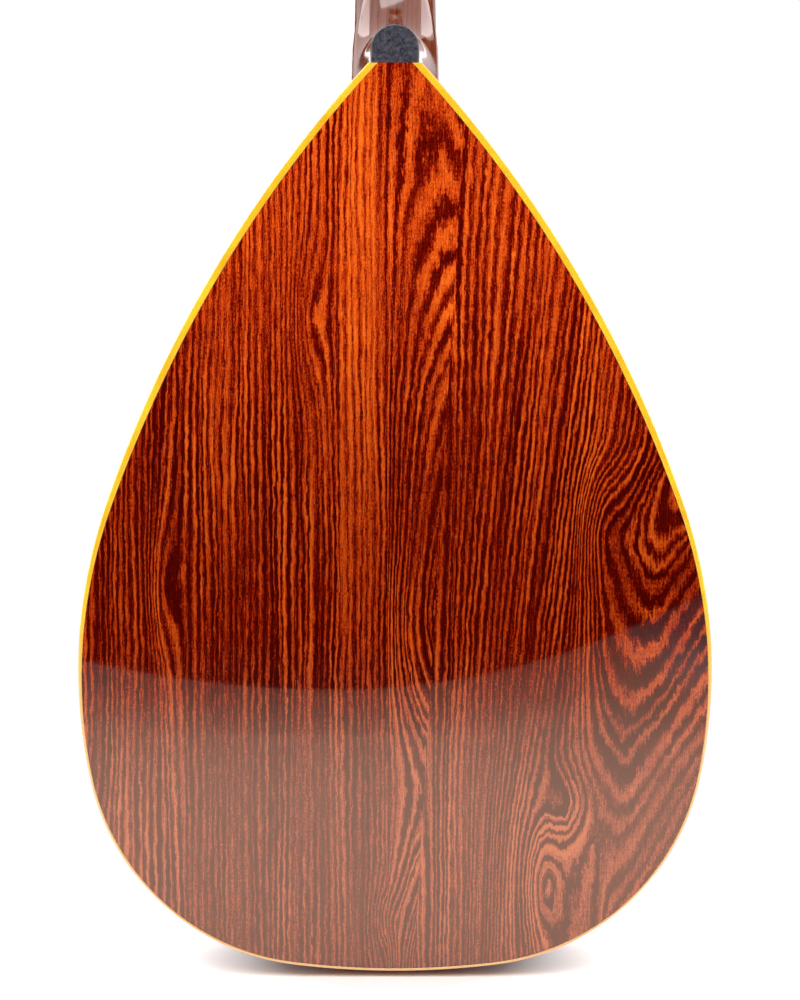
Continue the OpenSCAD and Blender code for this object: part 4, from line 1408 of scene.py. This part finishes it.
@dataclass(frozen=True)
class ScrewHeads:
    """Slotted nickel screw heads, each turned its own way.

    Attributes:
        radius, high: of a head.
        slot: width of its slot.
        cut: length of the slot's cutter, in radii.
        crown: radius of its top, as a share.
        sink: height of the slot's middle, as a share.
        sides: sides of a head.
        seed: of the turns.
    """

    radius: float
    high: float
    slot: float
    cut: float = 3.0
    crown: float = 0.7
    sink: float = 0.9
    sides: int = 32
    seed: int = 5

    def tree(self) -> NodeShape:
        """Sets heads on the given points.

        Returns:
            The closed tree.
        """
        shape = NodeShape("slotted_screws", Radius=float, High=float, Slot=float)
        radius, high, slot = (shape.given[name] for name in ("Radius", "High", "Slot"))
        head = {"Vertices": self.sides, "Radius Top": shape.times(radius, self.crown)}
        head = shape.add("GeometryNodeMeshCone", {**head, "Radius Bottom": radius, "Depth": high})
        box = shape.xyz(X=shape.times(radius, self.cut), Y=slot, Z=high)
        lift = shape.xyz(Z=shape.times(high, self.sink))
        cutter = {"Geometry": shape.add("GeometryNodeMeshCube", {"Size": box}), "Translation": lift}
        cutter = shape.add("GeometryNodeTransform", cutter)
        cut = {"Mesh 1": head, "Mesh 2": cutter}
        slotted = shape.add("GeometryNodeMeshBoolean", cut, operation="DIFFERENCE")
        turn = {2: 0.0, 3: math.pi, "Seed": self.seed}
        turn = shape.xyz(Z=shape.add("FunctionNodeRandomValue", turn, data_type="FLOAT"))
        placed = {"Points": shape.given["Geometry"], "Instance": slotted, "Rotation": turn}
        return shape.close(shape.add("GeometryNodeInstanceOnPoints", placed))

    def build(self, name: str, node: str, places: Sequence[Point], seat: Matrix) -> None:
        """Makes the heads of one piece's screws.

        Args:
            name: the new piece's name.
            node: the CAD node that it stands for.
            places: the screws' places on their seat.
            seat: the seat's frame, with the heads pointing away from it.
        """
        sizes = {"Radius": self.radius, "High": self.high, "Slot": self.slot}
        mesh = self.tree().grow(name, path_mesh(name + "_points", places), **sizes)
        mesh.transform(seat @ Matrix.Rotation(math.pi, 4, "X"))
        stand_for(join(name, [mesh], NICKEL), "instrument", NICKEL, node)


@dataclass
class Tailpiece(Assembly):
    """The stamped tailpiece with its sliding cover.

    Attributes:
        screw_x, screw_depths: distances of the screws from the centreline and from the back.
        screw_low: place of the heads' seats along the neck.
        screws: the heads.
        fold: rounding of the cover's folded edges.
    """

    screw_x: float = 12.0
    screw_depths: Span = (35.0, 51.0)
    screw_low: float = -158.3
    screws: ScrewHeads = ScrewHeads(3.0, 1.4, 0.7)
    fold: float = 0.35

    def build(self) -> None:
        """Dresses the tailpiece and makes its screws."""
        self.dress(NICKEL, "tailpiece_base")
        self.soften("tailpiece_cover", "tailpiece_cover", NICKEL, self.fold)
        places = [(x, y, 0.0) for x in (-self.screw_x, self.screw_x) for y in self.screw_depths]
        seat = Matrix.Translation(metres((0, 0, self.screw_low)))
        self.screws.build("tail_screw_heads", "tailpiece_screws", places, seat)


@dataclass
class TuningMachines(Assembly):
    """The eight open worm-and-wheel machines and their plates.

    Attributes:
        tilt: angle of the headstock to the back, in degrees.
        origin: the headstock's face at its root.
        post_x: distance of the posts from the centreline.
        first, pitch: place of the first posts along the headstock, and the spacing of the rest.
        waist: radius of a post where the string winds.
        wind: lowest and highest turn of a winding over the headstock's face.
        lay, gap: spacing of the turns in radii of the wire, and the gap between wire and post.
        steps, sides: points on one turn, and sides of the wire.
        wire_angle: edges over this angle in degrees stay sharp.
        screw_v: places of the plates' screws along the headstock.
        plate_back: place of the plates' outer faces.
        screws: the heads.
    """

    tilt: float = 14.2
    origin: Point = (0.0, -53.98, 350.384)
    post_x: float = 19.0
    first: float = 34.0
    pitch: float = 23.0
    waist: float = 2.6
    wind: Span = (5.0, 8.0)
    lay: float = 2.04
    gap: float = 0.02
    steps: int = 28
    sides: int = 8
    wire_angle: float = 60.0
    screw_v: tuple[float, ...] = (25.0, 48.5, 71.5, 94.5, 117.5)
    plate_back: float = -15.2
    screws: ScrewHeads = ScrewHeads(2.2, 1.0, 0.6)

    def head_frame(self) -> Matrix:
        """Works out the frame of the headstock.

        Returns:
            Its axes, across, along and out of its face, and its origin.
        """
        lean = math.radians(self.tilt)
        along = Vector((0, math.sin(lean), math.cos(lean)))
        out = Vector((0, -math.cos(lean), math.sin(lean)))
        turn = Matrix((Vector((1, 0, 0)), along, out)).transposed().to_4x4()
        return Matrix.Translation(metres(self.origin)) @ turn

    def winding(self) -> NodeShape:
        """Winds a wire round a post, turn upon turn.

        Returns:
            The closed tree.
        """
        shape = NodeShape("post_winding", Steps=int, Pitch=float, Coil=float, Rise=float, Radius=float)
        steps, pitch, coil, rise = (shape.given[name] for name in ("Steps", "Pitch", "Coil", "Rise"))
        spiral = {"Resolution": steps, "Rotations": shape.math("DIVIDE", rise, pitch), "Height": rise}
        spiral |= {"Start Radius": coil, "End Radius": coil}
        return shape.wire(shape.add("GeometryNodeCurveSpiral", spiral), self.sides)

    def wind_posts(self, radii: Sequence[float]) -> None:
        """Winds each string's end round its post.

        Args:
            radii: one radius to each course, from bass to treble.
        """
        tree = self.winding()
        low, high = self.wind
        for number in range(1, 9):
            bass = number <= 4
            row = (number - 1) % 4
            finish = BRONZE if bass else PLAIN_WIRE
            radius = radii[row // 2 if bass else 3 - row // 2]
            sizes = {"Pitch": self.lay * radius, "Coil": self.waist + radius + self.gap, "Rise": high - low}
            mesh = tree.grow(f"winding_{number}", Steps=self.steps, Radius=radius, **sizes)
            start = mesh.vertices[0].co
            facing = math.atan2(start.y, start.x)
            if not bass:
                mesh.transform(Matrix.Scale(-1, 4, (0, 1, 0)))
                mesh.flip_normals()
            mesh.transform(Matrix.Rotation(-facing if bass else math.pi + facing, 4, "Z"))
            post = metres((-self.post_x if bass else self.post_x, self.first + self.pitch * row, low))
            mesh.transform(self.head_frame() @ Matrix.Translation(post))
            piece = join(f"winding_{number}", [mesh], finish, self.wire_angle)
            stand_for(piece, f"tuner_{number}_post", finish)

    def build(self) -> None:
        """Dresses the machines, winds the strings and sets the screws."""
        self.dress(NICKEL, "tuner_plate_bass", "tuner_plate_treble", "post_bushings")
        for number in range(1, 9):
            self.dress(STEEL, f"worm_shaft_{number}")
            self.dress(BRASS, f"string_post_{number}")
            self.soften(f"button_{number}", f"tuner_{number}_key", PEARL)
        self.wind_posts(StringSet.radii)
        places = [(x, -v, 0.0) for x in (-self.post_x, self.post_x) for v in self.screw_v]
        seat = self.head_frame() @ Matrix.Translation(metres((0, 0, self.plate_back)))
        self.screws.build("plate_screw_heads", "tuner_plate_screws", places, seat)


@dataclass
class StringSet(Assembly):
    """Eight strings in four courses, from the tailpiece's hooks to the posts.

    Attributes:
        radii: one radius to each course, from bass to treble.
        hook, saddle, nut: depth and height of the hooks, of the saddle's crest and of the nut's slots.
        posts: depth and height of the winding on each row of posts.
        across: each string's place at the hook, saddle, nut and post.
        loop, loop_steps: radius of a string's loop round its hook, and the points on it.
        loop_wire: greatest radius of a loop's wire, a wound string's bare core.
        hook_middle: place of the hooks' middles along the neck.
        crest, crest_half: distance of the saddle's crest from the back, and half its width.
        reach: greatest distance of a string from the back.
        sides: sides of a string.
        wire_angle: edges over this angle in degrees stay sharp.
    """

    radii: tuple[float, ...] = (0.48, 0.31, 0.18, 0.13)
    hook: Span = (-63.6, -142.015)
    loop: float = 1.3
    loop_steps: int = 20
    loop_wire: float = 0.2
    hook_middle: float = -142.715
    saddle: Span = (-76.547, 0.0)
    crest: float = 76.647
    crest_half: float = 1.9
    reach: float = 77.027
    nut: Span = (-60.829, 346.644)
    posts: tuple[Span, ...] = (
        (-50.487, 384.571), (-44.845, 406.869), (-39.203, 429.166), (-33.561, 451.463),
    )
    across: tuple[tuple[float, float, float, float], ...] = (
        (-12.2, -19.4, -11.75, -15.9), (-8.8, -16.6, -9.85, -15.9),
        (-5.2, -7.4, -4.55, -16.07), (-1.8, -4.6, -2.65, -16.07),
        (1.8, 4.6, 2.65, 16.2), (5.2, 7.4, 4.55, 16.2),
        (8.8, 16.6, 9.85, 16.25), (12.2, 19.4, 11.75, 16.25),
    )
    sides: int = 10
    wire_angle: float = 60.0

    def routes(self, string: int) -> dict[str, list[Point]]:
        """Lays out one string's spans.

        Args:
            string: its number, from bass to treble.

        Returns:
            The points of each span, in millimetres.
        """
        hook, saddle, nut, post = self.across[string]
        radius = self.radii[string // 2]
        seat = -min(self.crest + radius / 2, self.reach - radius)
        low, high = (saddle, seat, -self.crest_half), (saddle, seat, self.crest_half)
        over_nut = (nut, *self.nut)
        return {
            "tail": [(hook, self.hook[0], self.hook_middle + self.loop), low, high],
            "speaking": [high, over_nut],
            "head": [over_nut, (post, *self.posts[string if string < 4 else 7 - string])],
        }

    def loop_path(self, string: int) -> Mesh:
        """Draws the loop round a string's hook.

        Args:
            string: its number, from bass to treble.

        Returns:
            The path.
        """
        turns = [math.tau * i / self.loop_steps for i in range(self.loop_steps)]
        middle = Vector((self.across[string][0], self.hook[0], self.hook_middle))
        ring = [middle + self.loop * Vector((math.sin(a), 0.0, math.cos(a))) for a in turns]
        return path_mesh("loop_path", ring, closed=True)

    def build(self) -> None:
        """Makes each kind of string in three spans, of which the one at the head rides on the instrument."""
        tree = NodeShape("string_wire", Radius=float)
        tree.wire(tree.path(), self.sides)
        kinds = (("plain_strings", PLAIN_WIRE, range(4, 8)), ("wound_strings", BRONZE, range(4)))
        for name, finish, strings in kinds:
            spans: dict[str, list[Mesh]] = {"tail": [], "speaking": [], "head": []}
            for string in strings:
                radius = self.radii[string // 2]
                for span, route in self.routes(string).items():
                    path = path_mesh("string_path", route)
                    spans[span].append(tree.grow(f"{name}_{span}_{string}", path, Radius=radius))
                thin = min(radius, self.loop_wire)
                loop = tree.grow(f"{name}_loop_{string}", self.loop_path(string), Radius=thin)
                spans["tail"].append(loop)
            for span, meshes in spans.items():
                piece = join(f"{name}_{span}", meshes, finish, self.wire_angle)
                if span == "head":
                    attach(piece, "instrument")
                    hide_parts(name)
                else:
                    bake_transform(piece)
                LOG.info("piece %s: %d faces", piece.name, len(piece.data.polygons))


# The studio's own surfaces: white paper, and black felt that only reflections see.
@dataclass
class Studio:
    """Floor, light, flag and camera.

    Attributes:
        scale: the photograph's pixels to a millimetre at the back.
        image: width and height of the image.
        middle, tail_row: the image column of the body's centreline, and the image row of the tail.
        tail: place of the tail along the neck.
        distance, sensor: from the camera to the back, and height of the camera's sensor.
        view: farthest that the camera sees, in metres.
        floor, table: height of the table, and half its width.
        stand: the middle of the object's footprint.
        shadow: distances from there over which the shadow's paper turns white.
        open_from: distances from there over which the camera starts to look through the table.
        gap: the same by depth before the tailpiece, the gap's spread, and its soft edge.
        paper_grain: size of the paper's grain.
        haze, haze_side: depths and sides over which the mirrored table fades, and shares before and after.
        haze_back: depths over which the mirrored table starts, under the instrument.
        near_haze, far_haze: light of its near and far part in the lacquer, linear.
        front: light of the rest of the table in reflections, as a share.
        flag_at, flag_rise: distance of the dark flag in front of the back, and its height.
        flag_columns: first and last image column of its edge, and the step between its points.
        edge: image column and row of the edge's lowest point in the lacquer, and its rise each way.
        edge_half: columns over which the edge rises by that much.
        veil, veil_drop: share of the light that the flag's soft hem holds back, and how far it hangs.
        cards: place, width and height of the dark cards that metal mirrors.
        lamps: name, place, size and power of the lamps.
        room: light of the room on surfaces, and as seen or mirrored.
    """

    scale: float = 2.588
    image: tuple[int, int] = (800, 1000)
    middle: float = 395.0
    tail_row: float = 971.0
    tail: float = -157.315
    distance: float = 650.0
    sensor: float = 36.0
    view: float = 50.0
    floor: float = -159.75
    table: float = 12000.0
    stand: Point = (0.0, -30.0, 0.0)
    shadow: Span = (45.0, 125.0)
    open_from: Span = (180.0, 200.0)
    gap: tuple[float, ...] = (-52.0, -60.0, 0.7, -10.0, 20.0)
    paper_grain: float = 1.11
    haze: tuple[float, ...] = (300.0, 1000.0, 1.0, 0.0)
    haze_side: tuple[float, ...] = (260.0, 400.0, 1.0, 0.0)
    haze_back: Span = (-30.0, 30.0)
    near_haze: Colour = (0.95, 0.6, 0.45, 1.0)
    far_haze: Colour = (0.1, 0.02, 0.0, 1.0)
    front: float = 0.55
    flag_at: float = 670.0
    flag_rise: float = 600.0
    flag_columns: tuple[int, int, int] = (-200, 1001, 40)
    edge: tuple[float, float, float, float] = (340.0, 690.0, 40.0, 66.0)
    edge_half: float = 300.0
    veil: float = 0.55
    veil_drop: float = 50.0
    cards: tuple[tuple[Point, float, float], ...] = (
        ((-650.0, -900.0, 150.0), 260.0, 1500.0),
        ((420.0, -1050.0, 150.0), 160.0, 1500.0),
        ((1050.0, -350.0, 100.0), 300.0, 1500.0),
        ((-1050.0, -300.0, 100.0), 300.0, 1500.0),
        ((0.0, -150.0, 1000.0), 300.0, 700.0),
    )
    lamps: tuple[tuple[str, Point, float, float], ...] = (
        ("overhead_softbox", (250.0, 900.0, 1300.0), 1100.0, 12.5),
        ("left_softbox", (1250.0, 500.0, 500.0), 800.0, 4.5),
        ("right_softbox", (-1250.0, 450.0, 550.0), 800.0, 4.5),
        ("far_softbox", (0.0, -1300.0, 900.0), 1000.0, 4.0),
        ("left_rim", (700.0, -120.0, 380.0), 800.0, 5.0),
        ("right_rim", (-700.0, -120.0, 380.0), 800.0, 5.0),
    )
    room: Span = (0.5, 1.0)

    def at_pixel(self, column: float, row: float) -> Vector:
        """Finds the point of the back that a pixel of the photograph shows, in millimetres."""
        across = -(column - self.middle) / self.scale
        return Vector((across, 0.0, (self.tail_row - row) / self.scale + self.tail))

    def camera(self) -> None:
        """Sets up the camera square to the back."""
        lens = bpy.data.cameras.new("camera")
        lens.sensor_fit = "VERTICAL"
        lens.sensor_height = self.sensor
        lens.lens = self.sensor * self.distance * self.scale / self.image[1]
        lens.clip_end = self.view
        camera = bpy.data.objects.new("camera", lens)
        centre = self.at_pixel(self.image[0] / 2, self.image[1] / 2)
        camera.location = metres((centre.x, self.distance, centre.z))
        camera.rotation_euler = (math.pi / 2, 0.0, math.pi)
        bpy.context.scene.collection.objects.link(camera)
        bpy.context.scene.camera = camera

    def paper(self) -> bpy.types.Material:
        """Makes pale paper that the camera sees as white, with the object's shadow on it.

        Returns:
            The material.
        """
        made, g = open_material("white_paper")
        rays = g.add("ShaderNodeLightPath").outputs
        camera, glossy = rays["Is Camera Ray"], rays["Is Glossy Ray"]
        spot = g.place()
        axes = g.axes(spot)
        depth, aside = axes["Y"], g.math("ABSOLUTE", axes["X"])
        away = g.vector("MULTIPLY", g.vector("SUBTRACT", spot, self.stand), (1.0, 1.0, 0.0))
        away = g.vector("LENGTH", away)
        # Where the back's lacquer mirrors the table, the paper turns peach and glows orange for glossy rays
        # only: a painted reflection, from a surface that is no lamp.
        mirrored = g.times(g.span(depth, *self.haze_back), g.span(aside, *self.haze_side))
        mirrored = g.times(glossy, mirrored)
        grain = g.ramp(g.noise(spot, self.paper_grain, detail=2.0), ((0.3, "#f1f0ee"), (0.7, "#f6f5f3")))
        dim = g.span(g.math("SUBTRACT", glossy, mirrored), 0.0, 1.0, 1.0, self.front)
        toned = g.tint(mirrored, g.scaled(grain, dim), linear("#f0c0a8"))
        white = g.add("ShaderNodeEmission", {"Strength": g.times(camera, g.span(away, *self.shadow))})
        haze = g.tint(g.ease(depth, *self.haze), self.far_haze, self.near_haze)
        haze = g.add("ShaderNodeEmission", {"Color": haze, "Strength": mirrored})
        paper = g.add("ShaderNodeBsdfDiffuse", {"Color": toned})
        for light in (white, haze):
            paper = g.add("ShaderNodeAddShader", {0: paper, 1: light})
        # The camera looks through the table where it is white anyway, and before the tailpiece,
        # whose cover slides down past the table's surface.
        near, far, spread, *soft = self.gap
        gap = g.span(g.times(depth, spread, aside), *soft, 1.0, 0.0)
        gap = g.math("MAXIMUM", g.times(g.span(depth, near, far), gap), g.span(away, *self.open_from))
        clear = g.add("ShaderNodeBsdfTransparent")
        paper = g.add("ShaderNodeMixShader", {0: g.times(gap, camera), 1: paper, 2: clear})
        g.add("ShaderNodeOutputMaterial", {"Surface": paper})
        return made

    def lay_table(self) -> None:
        """Lays the white table under the object."""
        corners = [metres((x * self.table, y * self.table, self.floor)) for x, y in SQUARE]
        mesh = new_mesh("table", corners, faces=[(0, 1, 2, 3)])
        mesh.materials.append(self.paper())
        new_object("table", mesh)

    def felt(self) -> bpy.types.Material:
        """Makes black felt that thins out where the piece's attribute says so.

        Returns:
            The material.
        """
        made, g = open_material("black_felt")
        dark = g.add("ShaderNodeEmission", {"Color": linear("#080706"), "Strength": 1.0})
        share = g.add("ShaderNodeAttribute", attribute_name="cover").outputs["Fac"]
        veil = {0: share, 1: g.add("ShaderNodeBsdfTransparent"), 2: dark}
        g.add("ShaderNodeOutputMaterial", {"Surface": g.add("ShaderNodeMixShader", veil)})
        return made

    def hang(self, felt: bpy.types.Material, name: str, mesh: Mesh, cover: Sequence[float]) -> None:
        """Hangs felt that only reflections see.

        Args:
            felt: its material.
            name: its name.
            mesh: its mesh.
            cover: the share of light that it holds back at each point.
        """
        mesh.attributes.new("cover", "FLOAT", "POINT").data.foreach_set("value", cover)
        mesh.materials.append(felt)
        piece = new_object(name, mesh)
        for kind in ("camera", "diffuse", "transmission", "volume_scatter", "shadow"):
            setattr(piece, "visible_" + kind, False)

    def flag(self, felt: bpy.types.Material) -> None:
        """Hangs the dark flag whose curved lower edge ends the white table's reflection on the lacquer.

        Args:
            felt: its material.
        """
        grow = (self.distance + self.flag_at) / self.distance
        eye = self.at_pixel(self.image[0] / 2, self.image[1] / 2)
        edge = []
        for column in range(*self.flag_columns):
            away = (column - self.edge[0]) / self.edge_half
            row = self.edge[1] - (self.edge[2] if away < 0 else self.edge[3]) * away * away
            edge.append(eye + (self.at_pixel(column, row) - eye) * grow)
        rows = ((self.flag_rise, 1.0), (0.0, 1.0), (0.0, self.veil), (-self.veil_drop, 0.0))
        points = [metres((p.x, self.flag_at, p.z + rise)) for rise, _ in rows for p in edge]
        count = len(edge)
        starts = [row * count + i for row in range(len(rows) - 1) for i in range(count - 1)]
        faces = [(i, i + 1, i + count + 1, i + count) for i in starts]
        cover = [share for _, share in rows for _ in edge]
        self.hang(felt, "dark_flag", new_mesh("dark_flag", points, faces=faces), cover)

    def dark_cards(self, felt: bpy.types.Material) -> None:
        """Stands dark cards round the object, so that polished metal shows its form.

        Args:
            felt: their material.
        """
        for number, (place, wide, high) in enumerate(self.cards):
            middle = metres(place)
            turn = (-middle).to_track_quat("-Z", "Y").to_matrix()
            corners = [middle + turn @ metres((x * wide / 2, y * high / 2, 0)) for x, y in SQUARE]
            name = f"dark_card_{number}"
            self.hang(felt, name, new_mesh(name, corners, faces=[(0, 1, 2, 3)]), [1.0] * 4)

    def light(self) -> None:
        """Hangs the softboxes and fills the room with even white light."""
        for name, place, size, power in self.lamps:
            lamp = bpy.data.lights.new(name, "AREA")
            lamp.size = size * MM
            lamp.energy = power
            holder = bpy.data.objects.new(name, lamp)
            holder.location = metres(place)
            holder.rotation_euler = (-metres(place)).to_track_quat("-Z", "Y").to_euler()
            bpy.context.scene.collection.objects.link(holder)
        world = bpy.data.worlds.new("white_room")
        bpy.context.scene.world = world
        world.use_nodes = True
        world.node_tree.nodes.clear()
        g = Graph(world.node_tree)
        rays = g.add("ShaderNodeLightPath").outputs
        seen = g.math("MAXIMUM", rays["Is Camera Ray"], rays["Is Glossy Ray"])
        seen = g.math("MAXIMUM", seen, rays["Is Transmission Ray"])
        strength = g.span(seen, 0.0, 1.0, *self.room)
        room = g.add("ShaderNodeBackground", {"Color": (1.0, 1.0, 1.0, 1.0), "Strength": strength})
        g.add("ShaderNodeOutputWorld", {"Surface": room})

    def build(self) -> None:
        """Sets up the whole studio."""
        self.camera()
        self.lay_table()
        felt = self.felt()
        self.flag(felt)
        self.dark_cards(felt)
        self.light()
        bpy.context.scene.view_settings.view_transform = "Standard"


def main() -> None:
    """Builds the dressed mandolin in its studio."""
    logging.basicConfig(level=logging.INFO, format="%(name)s: %(message)s")
    for thing in list(bpy.data.objects):
        bpy.data.objects.remove(thing)
    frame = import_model()
    Studio().build()
    for assembly in (SoundBox, Neck, Bridge, Tailpiece, TuningMachines, StringSet):
        assembly(frame).build()
        LOG.info("%s done", assembly.__name__)


if __name__ == "__main__":
    main()
